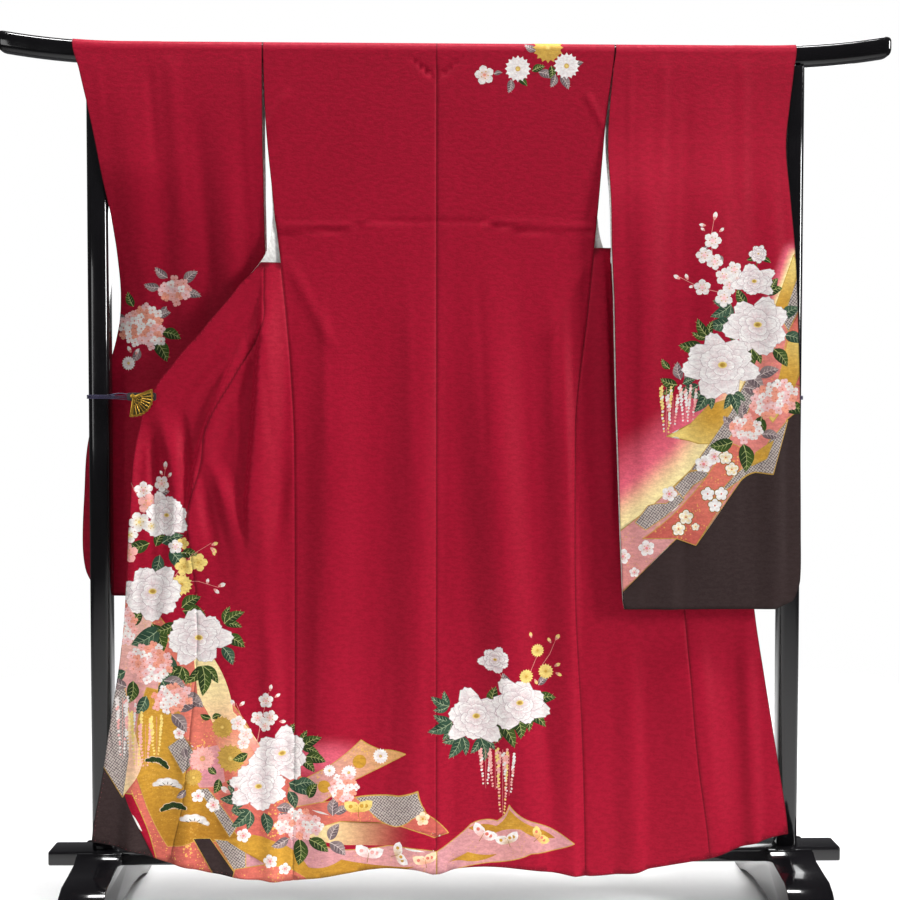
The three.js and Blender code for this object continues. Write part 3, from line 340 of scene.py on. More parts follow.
# ---- upper fronts and collars, behind the rail ---------------------------------------------------
# Each runs from the shoulder down behind the body, forward under the arm and out to its clip. These pieces
# turn as they go, so a row has its own height at each end.
SPAN = "lx ly lz rx ry rz"
FRONT_LEFT_UPPER = table(
    SPAN, (-347, 21.1, 1643, -95, 21.1, 1643), (-346, 22, 1600, -108, 22, 1596),
    (-344, 20, 1540, -128, 22, 1528), (-340, 12, 1482, -152, 19, 1450), (-334, -3, 1400, -185, 11, 1360),
    (-330, -18, 1322, -224, 0, 1275), (-342, -25, 1258, -284, -13, 1190),
    (-386, -28.5, 1200, -350, -22, 1120), (-460, -32, 1107, -430, -29, 1056),
    (-516, -35, 1041, -500, -33.5, 1012), (-548, -36.5, 1001, -548, -36, 990))
FRONT_RIGHT_UPPER = table(
    SPAN, (55, 21.1, 1643, 317, 21.1, 1643), (68, 22, 1596, 311, 22, 1600), (88, 22, 1528, 304, 20, 1540),
    (112, 19, 1450, 297, 12, 1482), (145, 11, 1360, 288, -3, 1400), (184, 0, 1275, 286, -17, 1322),
    (250, -11, 1190, 302, -20, 1258), (316, -19, 1120, 348, -22.5, 1200), (400, -25, 1056, 428, -26.5, 1107),
    (468, -28, 1012, 484, -28.5, 1041), (518, -29, 990, 519, -29, 1001))
NECK_LEFT, NECK_RIGHT, NECK_DROP = -95, 55, 46.2
COLLAR_WIDTH, COLLAR_WALL, COLLAR_SEAM = 55, 3, 1.2


def span_place(rows, length, over):
    """Hangs a piece whose flat coordinates are u, from 0 to 1 across, and a length down from its top.
    The first `over` of that lies on the rail."""
    last = len(rows["lx"]) - 1

    def place(u, down):
        spot = clamp((down - over) / (length - over)) * last
        left = [read(rows, spot, name) for name in ("lx", "ly", "lz")]
        right = [read(rows, spot, name) for name in ("rx", "ry", "rz")]
        hanging = np.stack([mix(a, b, u) for a, b in zip(left, right)], -1)
        x = mix(rows["lx"][0], rows["rx"][0], u)
        return np.where((down < over)[..., None], over_rail(x, SHOULDER - down, 1), hanging)

    return place


def row_length(rows, over):
    """The length of cloth down the middle of a spanned piece, with what lies on the rail."""
    middle = np.stack([(rows["l" + k] + rows["r" + k]) / 2 for k in "xyz"], -1)
    return over + np.linalg.norm(np.diff(middle, axis=0), axis=1).sum()


# ---- colours -------------------------------------------------------------------------------------
def rgb(red, green, blue):
    """A colour from its 0 to 255 values, as the linear values that Blender mixes."""
    channels = np.array([red, green, blue]) / 255
    return np.where(channels <= 0.04045, channels / 12.92, ((channels + 0.055) / 1.055) ** 2.4)


CRIMSON, CRIMSON_DEEP = rgb(158, 14, 44), rgb(128, 4, 26)
BROWN, CREAM, ROSE = rgb(54, 42, 41), rgb(244, 226, 165), rgb(232, 108, 128)
OCHRE, OCHRE_DEEP = rgb(196, 148, 52), rgb(168, 118, 36)
CORAL, CORAL_DEEP = rgb(214, 116, 98), rgb(192, 92, 82)
MAUVE, MAUVE_DEEP, MAUVE_PALE = rgb(208, 148, 146), rgb(198, 142, 148), rgb(222, 176, 160)
GREY_DOT = rgb(92, 82, 84)
GREEN, GREEN_LIT, TEAL, TEAL_LIT = rgb(34, 54, 26), rgb(66, 90, 34), rgb(38, 66, 50), rgb(70, 98, 76)
ASH, ASH_LIT, VEIN = rgb(98, 84, 88), rgb(150, 134, 132), rgb(168, 176, 112)
WHITE, SNOW, BLUSH = rgb(226, 223, 218), rgb(234, 232, 228), rgb(232, 192, 192)
PETAL_LINE, PETAL_SHADE = rgb(178, 158, 162), rgb(182, 172, 178)
PINK, SALMON, LEMON = rgb(232, 172, 164), rgb(230, 154, 130), rgb(232, 208, 122)
GOLD, GOLD_DEEP = rgb(200, 162, 76), rgb(142, 112, 34)
STEM = rgb(214, 142, 134)
LINING, LINING_SHADE = rgb(238, 236, 232), rgb(214, 212, 208)


# ---- the painted design --------------------------------------------------------------------------
class Design:
    """Closed shapes painted one over another on flat cloth. A shape's colour runs from `inner` at `centre` to
    `outer` at the distance `reach`."""

    def __init__(self):
        self.outlines, self.inner, self.outer, self.centre, self.reach = [], [], [], [], []
        self.gilt, self.dots, self.flecks = [], [], []

    def shape(self, points, inner, outer=None, centre=None, reach=None, gilt=0.0, dots=0.0, flecks=0.0):
        points = np.asarray(points, float)
        onward = np.roll(points, -1, 0)
        if (points[:, 0] * onward[:, 1] - points[:, 1] * onward[:, 0]).sum() < 0:
            points = points[::-1]
        middle = points.mean(0) if centre is None else np.asarray(centre, float)
        self.outlines.append(points)
        self.inner.append(inner)
        self.outer.append(inner if outer is None else outer)
        self.centre.append(middle)
        self.reach.append(reach or max(1.0, np.linalg.norm(points - middle, axis=1).max()))
        self.gilt.append(gilt)
        self.dots.append(dots)
        self.flecks.append(flecks)

    def colours(self, which, points):
        """The colour with the gilt, and the kanoko and flecks, of shape which[i] at points[i]."""
        centre, reach = np.array(self.centre)[which], np.array(self.reach)[which]
        t = smooth(0, 1, np.linalg.norm(points - centre, axis=1) / reach)[:, None]
        colour = mix(np.array(self.inner)[which], np.array(self.outer)[which], t)
        painted = np.concatenate([colour, np.array(self.gilt)[which][:, None]], 1)
        dots, flecks = np.array(self.dots)[which], np.array(self.flecks)[which]
        return painted, np.stack([dots, flecks, np.zeros_like(dots), np.ones_like(dots)], -1)


def turned(points, angle, centre=(0, 0)):
    """Points turned by an angle in degrees and moved to a centre."""
    a = math.radians(angle)
    turn = np.array([[math.cos(a), math.sin(a)], [-math.sin(a), math.cos(a)]])
    return np.asarray(points, float) @ turn + np.asarray(centre, float)


def disc(centre, radius, steps=10, squash=1.0, angle=0.0):
    t = np.arange(steps) / steps * TAU
    return turned(np.stack([radius * np.cos(t), radius * squash * np.sin(t)], -1), angle, centre)


def stroke(points, widths):
    """A brush line along points, as wide as given at each of them."""
    points = np.asarray(points, float)
    run = np.gradient(points, axis=0)
    side = np.stack([-run[:, 1], run[:, 0]], -1) / np.maximum(np.linalg.norm(run, axis=1), 1e-9)[:, None]
    half = np.asarray(widths, float)[:, None] / 2
    return np.concatenate([points + side * half, (points - side * half)[::-1]])


def bent(start, end, bow, steps=6):
    """Points from start to end, bowed to the left by a share of the length."""
    start, end = np.asarray(start, float), np.asarray(end, float)
    t = np.linspace(0, 1, steps)[:, None]
    run = end - start
    return start + run * t + np.array([-run[1], run[0]]) * bow * 4 * t * (1 - t)


def petal(length, width, waist=0.3, notch=0.0, frill=0, steps=7):
    """A petal from the origin along +X, notched or frilled at its tip."""
    t = np.linspace(0, 1, steps)
    half = width / 2 * np.sin(math.pi * t**(1 + waist)) ** 0.7
    x = length * t
    upper = np.stack([x, half], -1)
    lower = np.stack([x, -half], -1)[::-1]
    tip = []
    if notch:
        tip = [[length * (1 - notch), 0]]
    if frill:
        s = np.linspace(-1, 1, frill * 2 + 1)[1:-1]
        wave = 1 - 0.16 * s**2 - 0.05 * (np.arange(len(s)) % 2)
        tip = np.stack([length * 1.05 * wave, -s * width * 0.40], -1)
        upper, lower = upper[upper[:, 0] < length * 0.82], lower[lower[:, 0] < length * 0.82]
    return np.concatenate([upper, np.reshape(tip, (-1, 2)), lower[:-1]])


PEONY_RINGS = table(  # petals in a ring, and their reach, width and first angle
    "count reach width start", (7, 1.00, 0.68, 0), (6, 0.78, 0.62, 26), (5, 0.56, 0.52, 50),
    (4, 0.33, 0.34, 12))


def peony(design, centre, size, angle=0.0, tint=BLUSH, squash=0.84):
    """A full-blown peony: rings of broad frilled petals with a fine line round each, and a gold heart."""
    centre = np.asarray(centre, float)
    size *= 1.16
    for ring in range(len(PEONY_RINGS["count"])):
        count, reach, width, start = (
            PEONY_RINGS[name][ring] for name in ("count", "reach", "width", "start"))
        for k in range(int(count)):
            turn = angle + start + 360 * k / count + 11 * math.sin(5 * k + ring)
            grow = 1 + 0.15 * math.sin(3.1 * k + 1.7 * ring + size)
            long, wide = size * reach * grow, size * width * (1 + 0.14 * math.cos(2.3 * k))
            shrink = [1, squash]
            line = turned(petal(long + 0.8, wide + 1.3, 0.5, frill=3), turn) * shrink
            design.shape(line + centre, PETAL_LINE)
            base = turned(petal(long, wide, 0.5, frill=3), turn) * shrink
            design.shape(base + centre, mix(tint, PETAL_SHADE, 0.55), SNOW, centre, long)
            for off, share in ((-0.16, 0.80), (0.0, 0.88), (0.16, 0.80)):
                vein = [[long * 0.45, wide * off * 0.8], [long * share, wide * off * 1.5]]
                design.shape(
                    turned(stroke(vein, [0.7, 0.35]), turn) * shrink + centre, mix(tint, PETAL_LINE, 0.35))
    heart = centre + [size * 0.03, size * 0.02]
    design.shape(disc(heart, size * 0.13, 12, 0.7), mix(LEMON, GREEN_LIT, 0.3), LEMON)
    design.shape(disc(heart, size * 0.085, 10, 0.7), GOLD_DEEP, GOLD, gilt=0.4)


def blossom(design, centre, size, angle=0.0, petals=5, colour=WHITE, heart=PINK, dots=True):
    """A small open flower with notched petals."""
    centre = np.asarray(centre, float)
    for k in range(petals):
        turn = angle + 360 * k / petals
        outline = turned(petal(size, size * 0.80, waist=0.6, notch=0.12, steps=7), turn, centre)
        design.shape(outline, mix(heart, colour, 0.35), colour, centre, size * 0.7)
    design.shape(disc(centre, size * 0.17, 6), heart)
    if dots:
        for k in range(petals):
            spot = centre + turned([[size * 0.36, 0]], angle + 36 + 360 * k / petals)[0]
            design.shape(disc(spot, size * 0.06 + 0.35, 4), GOLD)


def mum(design, centre, size, colour=WHITE, shade=BLUSH, heart=LEMON, rings=3):
    """A chrysanthemum with rings of narrow petals."""
    centre = np.asarray(centre, float)
    for ring in range(rings):
        reach, count = size * (1 - 0.27 * ring), 16 - 3 * ring
        design.shape(disc(centre, reach * 0.86, 12), shade)
        for k in range(count):
            outline = turned(
                petal(reach, TAU * reach / count * 0.92, waist=0.5, steps=5), 360 * (k + ring / 2) / count,
                centre)
            design.shape(outline, mix(shade, colour, 0.3), colour, centre, reach * 0.8)
    design.shape(disc(centre, size * 0.20, 8), heart, GOLD)


def mums(design, *rows, tones=(SNOW, BLUSH, LEMON), rings=2):
    """Each row: x, z, size. tones are the petals' colour, their shade and the heart."""
    for x, z, size in rows:
        mum(design, (x, z), size, *tones, rings)


def floret(design, centre, size, angle, colour):
    for k in range(4):
        outline = turned(petal(size, size * 0.95, waist=0.45, steps=5), angle + 90 * k, centre)
        design.shape(outline, mix(colour, SALMON, 0.25), colour, centre, size * 0.8)
    design.shape(disc(centre, size * 0.18, 4), CORAL)


def hydrangea(design, centre, wide, high, angle=0.0, size=7.5, seed=1):
    """A head of small four-petalled flowers, white and pink."""
    random = np.random.default_rng(seed)
    centre = np.asarray(centre, float)
    tones = (WHITE, PINK, SNOW, BLUSH, SALMON)
    step = size * 1.42
    spots = [
        (i * step + (j % 2) * step / 2, j * step * 0.86)
        for j in range(-int(high / step) - 1, int(high / step) + 2)
        for i in range(-int(wide / step) - 1, int(wide / step) + 2)]
    spots = [s for s in spots if (s[0] / wide) ** 2 + (s[1] / high) ** 2 < 1.02]
    design.shape(
        turned(disc((0, 0), 1, 14) * [wide * 0.92, high * 0.92], angle, centre), mix(PINK, CORAL, 0.4), PINK)
    for spot in sorted(spots, key=lambda s: -s[1]):
        shift = random.uniform(-1.1, 1.1, 2)
        place = turned([np.add(spot, shift)], angle, centre)[0]
        floret(
            design, place, size * random.uniform(0.9, 1.1), random.uniform(0, 90),
            tones[int(random.integers(5))])


def leaf(design, base, angle, length, width, dark=GREEN, light=GREEN_LIT, vein=VEIN, teeth=0):
    """A leaf from its stalk, lighter on one side, with a midrib and side veins."""
    t = np.linspace(0, 1, 8 + teeth)
    half = width / 2 * np.sin(math.pi * t**0.8) ** 0.9
    if teeth:
        half = half * (1 + 0.16 * (np.arange(len(t)) % 2) - 0.08)
    bow = 0.08 * length * np.sin(math.pi * t)
    x = length * t
    whole = np.concatenate([np.stack([x, bow + half], -1), np.stack([x, bow - half], -1)[::-1][1:-1]])
    lit = np.concatenate([np.stack([x, bow + half], -1), np.stack([x, bow], -1)[::-1][1:-1]])
    design.shape(turned(whole, angle, base), dark, mix(dark, light, 0.35))
    design.shape(
        turned(lit, angle, base), mix(dark, light, 0.35), light, turned([[0, 0]], angle, base)[0], length)
    midrib = np.stack([x, bow], -1)
    design.shape(turned(stroke(midrib, np.linspace(1.5, 0.5, len(x))), angle, base), vein)
    if length > 22:
        for s in (0.25, 0.42, 0.59, 0.76):
            root = np.array([length * s, 0.08 * length * math.sin(math.pi * s)])
            for side in (1, -1):
                tip = root + [
                    length * 0.15, side * width * 0.36 * math.sin(math.pi * min(1, s + 0.05)) ** 0.6]
                design.shape(turned(stroke([root, tip], [0.9, 0.4]), angle, base), vein)


def peony_leaf(design, base, angle, size, dark=GREEN, light=GREEN_LIT, vein=VEIN):
    """A peony's leaf: three pointed lobes on one stalk."""
    for turn, share in ((-42, 0.78), (42, 0.78), (0, 1.0)):
        leaf(design, base, angle + turn, size * share, size * 0.44 * share, dark, light, vein)


def twig(design, points, width=1.6, colour=STEM):
    points = np.asarray(points, float)
    design.shape(stroke(points, np.linspace(width, width * 0.5, len(points))), colour)


def bud(design, base, angle, size, colour=WHITE):
    design.shape(turned(petal(size, size * 0.5, steps=6), angle, base), PINK, colour, base, size * 0.8)
    design.shape(turned(petal(size * 0.45, size * 0.36, steps=5), angle, base), STEM)


def buds(design, *rows, colour=WHITE):
    """Each row: x, z, angle, size."""
    for x, z, angle, size in rows:
        bud(design, (x, z), angle, size, colour)


def wisteria(design, top, length, colour=WHITE, other=PINK, seed=3):
    """A hanging cluster, wide at the top, of small petals in pairs."""
    random = np.random.default_rng(seed)
    top = np.asarray(top, float)
    rows = int(length / 6.2)
    twig(design, [top, top - [0, length]], 0.9)
    for k in range(rows):
        share = k / rows
        spread = mix(7.5, 2.2, share)
        for side in (-1, 1):
            spot = top + [side * spread + random.uniform(-0.8, 0.8), -6.2 * k - random.uniform(0, 2)]
            size = mix(8.6, 4.2, share)
            tone = colour if random.random() < 0.65 else other
            design.shape(turned(petal(size, size * 0.78, steps=5), 250 + side * 38, spot), tone)
            if share < 0.45:
                design.shape(disc(spot + [side * 1.5, 1.5], 2.6, 6), mix(tone, other, 0.3), tone)


def pine(design, centre, size, angle=0.0, colour=WHITE, line=GREEN):
    """A stylised pine top: a scalloped half round with short needles."""
    t = np.linspace(0, math.pi, 26)
    lobes = 1 + 0.10 * np.abs(np.sin(t * 5)) - 0.05
    top = np.stack([size * np.cos(t) * lobes, size * 0.62 * np.sin(t) * lobes], -1)
    base = np.stack([np.linspace(-size * 0.8, size * 0.8, 6)[1:-1], [2.5, 5.5, 5.5, 2.5]], -1)
    edge = 1.0 + 1.8 / size
    design.shape(
        turned(np.concatenate([top * edge, base * [1, 0.6]]), angle, centre), mix(OCHRE, WHITE, 0.5),
        gilt=0.3)
    design.shape(turned(np.concatenate([top, base]), angle, centre), colour, mix(colour, line, 0.08))
    for k in range(5):
        a = math.pi * (k + 0.5) / 5
        run = np.array([math.cos(a), 0.62 * math.sin(a)])
        design.shape(turned(stroke([run * size * 0.35, run * size * 0.62], [1.5, 1.0]), angle, centre), line)


def butterfly(design, centre, size, angle, colour, spot):
    size *= 1.3
    for side in (-1, 1):
        for turn, share in ((52, 1.0), (-28, 0.7)):
            wing = petal(size * share, size * 0.58 * share, waist=0.2, steps=6) * [1, side]
            outline = turned(turned(wing, side * turn), angle, centre)
            design.shape(outline, mix(spot, colour, 0.3), colour, centre, size * share * 0.8)
            mark = turned(turned(disc((size * share * 0.55, 0), size * 0.12, 6), side * turn), angle, centre)
            design.shape(mark, spot)
    design.shape(turned(stroke([[-size * 0.28, 0], [size * 0.3, 0]], [1.2, 0.7]), angle, centre), GOLD_DEEP)


# ---- from flat panels to hung cloth --------------------------------------------------------------
GRID_X, GRID_Z = 7.0, 9.0  # spacing of the cloth's own points
SEAM_LINES = (2.4, 5.6)  # extra points this far inside each side, to carry the dip of a seam
NEAR = 1.2  # how far to look to each side for the way the cloth faces


def panel_outline(left, right, top, bottom):
    """The outline of a panel and points just inside its sides. left and right give x by height, and top
    and bottom give height by x."""
    def levels(x):
        high, low = float(top(x)), float(bottom(x))
        between = np.arange(math.ceil(low / GRID_Z + 0.3), math.floor(high / GRID_Z - 0.3) + 1) * GRID_Z
        return np.concatenate([[low], between, [high]])

    left_z = levels(left(bottom(left(200.0))))
    right_z = levels(right(bottom(right(200.0))))
    left_z[-1], right_z[-1] = float(top(left(left_z[-1]))), float(top(right(right_z[-1])))
    left_x, right_x = left(left_z), right(right_z)
    across = lambda a, b: np.linspace(a, b, max(2, round(abs(b - a) / GRID_X)) + 1)[1:-1]
    top_x, bottom_x = across(right_x[-1], left_x[-1]), across(left_x[0], right_x[0])
    outline = np.concatenate([
        np.stack([bottom_x, bottom(bottom_x)], -1), np.stack([right_x, right_z], -1),
        np.stack([top_x, top(top_x)], -1), np.stack([left_x, left_z], -1)[::-1]])
    inner = [np.stack([left_x + s, left_z], -1)[2:-2] for s in SEAM_LINES]
    inner += [np.stack([right_x - s, right_z], -1)[2:-2] for s in SEAM_LINES]
    return outline, np.concatenate(inner)


def inside_points(left, right, top, bottom, low, high):
    """The cloth's own points, in rows that take turns to shift by half a step."""
    rows = []
    for k, z in enumerate(np.arange(math.ceil(low / GRID_Z), math.floor(high / GRID_Z) + 1) * GRID_Z):
        start, end = float(left(z)) + 9, float(right(z)) - 9
        if end > start:
            x = np.arange(math.ceil(start / GRID_X), math.floor(end / GRID_X) + 1) * GRID_X
            x = x + (k % 2) * GRID_X / 2
            rows.append(np.stack([x, np.full_like(x, z)], -1))
    points = np.concatenate(rows)
    keep = (points[:, 1] < top(points[:, 0]) - 4) & (points[:, 1] > bottom(points[:, 0]) + 4)
    return points[keep]


def cut_panel(outline, own_points, design):
    """Cuts the design into a panel. Gives flat points, triangles and the shape that each one shows."""
    vertices = [Vector(p) for p in np.concatenate([outline, own_points])]
    faces = [list(range(len(outline)))]
    low, high = outline.min(0), outline.max(0)
    used = [-1]
    for index, points in enumerate(design.outlines if design else []):
        if (points.max(0) > low).all() and (points.min(0) < high).all():
            faces.append(list(range(len(vertices), len(vertices) + len(points))))
            vertices += [Vector(p) for p in points]
            used.append(index)
    points, _, triangles, _, _, sources = delaunay_2d_cdt(vertices, [], faces, 0, 1e-4, True)
    kept, shows = [], []
    for triangle, source in zip(triangles, sources):
        if 0 not in source:
            continue
        kept.append(triangle)
        shows.append(max(used[s] for s in source))
    return np.array(points), np.array(kept), np.array(shows)


def linked(name, data):
    """An object of this name at the origin of the scene."""
    piece = bpy.data.objects.new(name, data)
    bpy.context.scene.collection.objects.link(piece)
    return piece


def shade_smooth(mesh):
    mesh.polygons.foreach_set("use_smooth", np.full(len(mesh.polygons), True))


def new_mesh(name, points, faces, materials, material_index=None, normals=None):
    """A smooth mesh object at the origin, from points in millimetres."""
    mesh = bpy.data.meshes.new(name)
    mesh.from_pydata((np.asarray(points) * MM).tolist(), [], [list(map(int, f)) for f in faces])
    for material in materials:
        mesh.materials.append(material)
    if material_index is not None:
        mesh.polygons.foreach_set("material_index", np.asarray(material_index, np.int32))
    shade_smooth(mesh)
    if normals is not None:
        mesh.normals_split_custom_set_from_vertices(normals.tolist())
    return linked(name, mesh)


def skin(flat, place, thickness, faces_out):
    """One side of a hung cloth: its points, and the way each of them faces."""
    across, up = flat[:, 0], flat[:, 1]
    along = place(across + NEAR, up) - place(across - NEAR, up)
    upward = place(across, up + NEAR) - place(across, up - NEAR)
    normal = np.cross(along, upward)
    normal *= faces_out / np.maximum(np.linalg.norm(normal, axis=1), 1e-9)[:, None]
    return place(across, up) + normal * thickness / 2, normal


def turned_over(points, triangles, normal):
    """Whether triangles face against the way that their points do."""
    a, b, c = (points[triangles[:, k]] for k in range(3))
    return np.einsum("ij,ij->i", np.cross(b - a, c - a), normal[triangles].sum(1)).sum() < 0


def border(triangles, size):
    """The border of a net of triangles, as its points in order and the triangle at each step."""
    edges = np.concatenate([triangles[:, [0, 1]], triangles[:, [1, 2]], triangles[:, [2, 0]]])
    lone = np.flatnonzero(~np.isin(edges[:, 1] * size + edges[:, 0], edges[:, 0] * size + edges[:, 1]))
    onward = {edges[i, 0]: (edges[i, 1], i % len(triangles)) for i in lone}
    point = edges[lone[0], 0]
    points, beside = [], []
    while point in onward:
        following, triangle = onward.pop(point)
        points.append(point)
        beside.append(triangle)
        point = following
    return np.array(points), np.array(beside)


def hang(name, outline, own_points, design, ground, place, faces_out, cut_size, thickness=CLOTH):
    """Hangs a flat panel: painted silk outside, a plainer net of lining inside, and a rim between them."""
    flat, triangles, shows = cut_panel(outline, own_points, design)
    ring, beside = border(triangles, len(flat))
    lining_flat, lining, _ = cut_panel(flat[ring], own_points, None)
    outside, normal = skin(flat, place, thickness, faces_out)
    inside, lining_normal = skin(lining_flat, place, thickness, -faces_out)
    lining = lining[:, ::-1] + len(flat)
    here = np.arange(len(ring))
    after = (here + 1) % len(ring)
    rim = np.concatenate([
        np.stack([ring[after], ring[here], here + len(flat)], -1),
        np.stack([ring[after], here + len(flat), after + len(flat)], -1)])
    faces = np.concatenate([triangles, lining, rim])
    if turned_over(outside, triangles, normal):
        faces = faces[:, ::-1]
    kind = np.repeat([0, 1, 0], [len(triangles), len(lining), len(rim)])
    points = np.concatenate([outside, inside])
    piece = new_mesh(
        name, points, faces, [SILK, LINING_SILK], kind, normals=np.concatenate([normal, lining_normal]))

    all_flat = np.concatenate([flat, lining_flat])
    corners = faces.ravel()
    shown = np.repeat(np.concatenate([shows, np.full(len(lining), -1), np.tile(shows[beside], 2)]), 3)
    colours, pattern = np.zeros((len(corners), 4)), np.zeros((len(corners), 4))
    colours[:, :3] = ground(points[corners], all_flat[corners])
    front = np.flatnonzero(shown >= 0)
    if len(front):
        colours[front], pattern[front] = design.colours(shown[front], all_flat[corners[front]])
    # The panel's edge is marked here for painted shade, which the silk material darkens.
    pattern[np.isin(corners, ring), 2] = 1
    for title, values in (("paint", colours), ("pattern", pattern)):
        layer = piece.data.color_attributes.new(title, "FLOAT_COLOR", "CORNER")
        layer.data.foreach_set("color", values.ravel())
    layer = piece.data.uv_layers.new(name="cut")
    layer.uv.foreach_set("vector", (all_flat[corners] * MM).ravel())
    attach(piece, "root")
    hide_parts(name.removesuffix("_silk"))
    width, length, area = cut_size


# ---- nodes for materials -------------------------------------------------------------------------
class Nodes:
    """Places nodes in a tree and links them. Any value may be a number, a colour or another node's socket."""

    def __init__(self, tree):
        self.tree = tree

    def add(self, kind, output=0, inputs=None, **settings):
        node = self.tree.nodes.new(kind)
        for key, value in settings.items():
            setattr(node, key, value)
        self.put_all(node.inputs, inputs or {})
        return node.outputs[output] if output is not None else node

    def put_all(self, sockets, values):
        for key, value in values.items():
            self.put(sockets[key], value)

    def put(self, socket, value):
        if isinstance(value, bpy.types.NodeSocket):
            self.tree.links.new(value, socket)
        elif hasattr(value, "__len__") and len(value) == 3 and socket.type == "RGBA":
            socket.default_value = (*value, 1)
        else:
            socket.default_value = value

    def math(self, operation, a, b=0.0):
        return self.add("ShaderNodeMath", inputs={0: a, 1: b}, operation=operation)

    def blend(self, factor, a, b, mode="MIX"):
        node = self.add("ShaderNodeMix", None, data_type="RGBA", blend_type=mode)
        self.put(node.inputs[0], factor)
        self.put(node.inputs[6], a)
        self.put(node.inputs[7], b)
        return node.outputs[2]

    def noise(self, vector, scale, detail=3.0, roughness=0.5):
        return self.add("ShaderNodeTexNoise", inputs={
            "Vector": vector, "Scale": scale, "Detail": detail, "Roughness": roughness})

    def spread(self, value, low, high, to_low=0.0, to_high=1.0):
        return self.add("ShaderNodeMapRange", inputs={0: value, 1: low, 2: high, 3: to_low, 4: to_high})

    def bump(self, height, strength, distance):
        return self.add("ShaderNodeBump", inputs={
            "Height": height, "Strength": strength, "Distance": distance})

    def stretched(self, vector, scale, rotation=(0, 0, 0)):
        return self.add("ShaderNodeMapping", inputs={"Vector": vector, "Scale": scale, "Rotation": rotation})


def group(name, inputs, outputs, build):
    """A shader node group. inputs and outputs are (name, kind, default)."""
    tree = bpy.data.node_groups.new(name, "ShaderNodeTree")
    for title, kind, default in inputs:
        socket = tree.interface.new_socket(title, in_out="INPUT", socket_type="NodeSocket" + kind)
        if default is not None:
            socket.default_value = default
    for title, kind in outputs:
        tree.interface.new_socket(title, in_out="OUTPUT", socket_type="NodeSocket" + kind)
    nodes = Nodes(tree)
    given = nodes.add("NodeGroupInput", None)
    result = tree.nodes.new("NodeGroupOutput")
    for title, socket in build(nodes, given.outputs).items():
        tree.links.new(socket, result.inputs[title])
    return tree


def weave_of_crepe(nodes, given):
    """Silk crepe with a figured ground: fine broken ribs across the cloth, and a low cloudy pattern."""
    place = given["Place"]
    ribs = nodes.noise(nodes.stretched(place, (250, 330, 1)), 1.0, 3, 0.6)
    cloud = nodes.noise(nodes.stretched(place, (75, 150, 1)), 1.0, 2, 0.55)
    thread = nodes.noise(nodes.stretched(place, (900, 1500, 1)), 1.0, 1, 0.5)
    figure = nodes.spread(cloud, 0.40, 0.62)
    height = nodes.math("ADD", nodes.math("MULTIPLY", ribs, 0.6), nodes.math("MULTIPLY", figure, 0.25))
    height = nodes.math("ADD", height, nodes.math("MULTIPLY", thread, 0.15))
    fleck = nodes.spread(nodes.math("ADD", ribs, nodes.math("MULTIPLY", figure, 0.30)), 0.42, 0.92)
    return {"Height": height, "Fleck": nodes.math("MULTIPLY", fleck, given["Amount"]), "Figure": figure}


CREPE = group(
    "crepe weave", [("Place", "Vector", None), ("Amount", "Float", 1.0)],
    [("Height", "Float"), ("Fleck", "Float"), ("Figure", "Float")], weave_of_crepe)


def dust_and_wear(nodes, given):
    """Faint cloudy change of gloss, as fine dust and handling leave on lacquer and metal."""
    cloud = nodes.noise(given["Place"], 14.0, 5, 0.6)
    fine = nodes.noise(given["Place"], 420.0, 2, 0.5)
    mask = nodes.math("ADD", nodes.math("MULTIPLY", cloud, 0.75), nodes.math("MULTIPLY", fine, 0.25))
    return {"Mask": nodes.math("MULTIPLY", nodes.spread(mask, 0.35, 0.75), given["Amount"])}


HANDLING = group(
    "handling", [("Place", "Vector", None), ("Amount", "Float", 1.0)], [("Mask", "Float")], dust_and_wear)


def material(name, build):
    """A material: build() places its nodes and sets the Principled shader."""
    made = bpy.data.materials.new(name)
    made.use_nodes = True
    nodes = Nodes(made.node_tree)
    shader = made.node_tree.nodes["Principled BSDF"]
    build(nodes, shader.inputs)
    return made


def placed_group(nodes, tree, **inputs):
    node = nodes.add("ShaderNodeGroup", None, node_tree=tree)
    nodes.put_all(node.inputs, inputs)
    return node.outputs


def worn_place(nodes):
    """Each point's own place on a piece, and how worn it is there."""
    place = nodes.add("ShaderNodeTexCoord", "Object")
    return place, placed_group(nodes, HANDLING, Place=place, Amount=1.0)["Mask"]


KANOKO_PITCH, FLECK_SIZE = 0.0044, 0.0042


def tied_dots(nodes, given):
    """Kanoko, which are small tied squares in slanting rows, each with a dark dot, and flecks of gold leaf,
    each of its own size."""
    turned_cut = nodes.stretched(given["Place"], (1, 1, 1), (0, 0, 0.62))
    cell = nodes.add("ShaderNodeTexVoronoi", "Distance", {
        "Vector": turned_cut, "Scale": 1 / KANOKO_PITCH, "Randomness": 0.12}, distance="CHEBYCHEV")
    square = nodes.math("SUBTRACT", nodes.spread(cell, 0.40, 0.32), nodes.spread(cell, 0.15, 0.08))
    leaf_cell = nodes.add("ShaderNodeTexVoronoi", None, {
        "Vector": given["Place"], "Scale": 1 / FLECK_SIZE, "Randomness": 1.0})
    chosen = nodes.add("ShaderNodeSeparateColor", None, {"Color": leaf_cell.outputs["Color"]})
    patchy = nodes.spread(nodes.noise(given["Place"], 26.0, 2), 0.36, 0.66)
    reach = nodes.math("MULTIPLY", chosen.outputs["Red"], nodes.math("MULTIPLY", patchy, 0.62))
    fleck = nodes.math("LESS_THAN", leaf_cell.outputs["Distance"], reach)
    return {"Dots": square, "Flecks": fleck}


KANOKO = group(
    "kanoko and gold leaf", [("Place", "Vector", None)], [("Dots", "Float"), ("Flecks", "Float")], tied_dots)


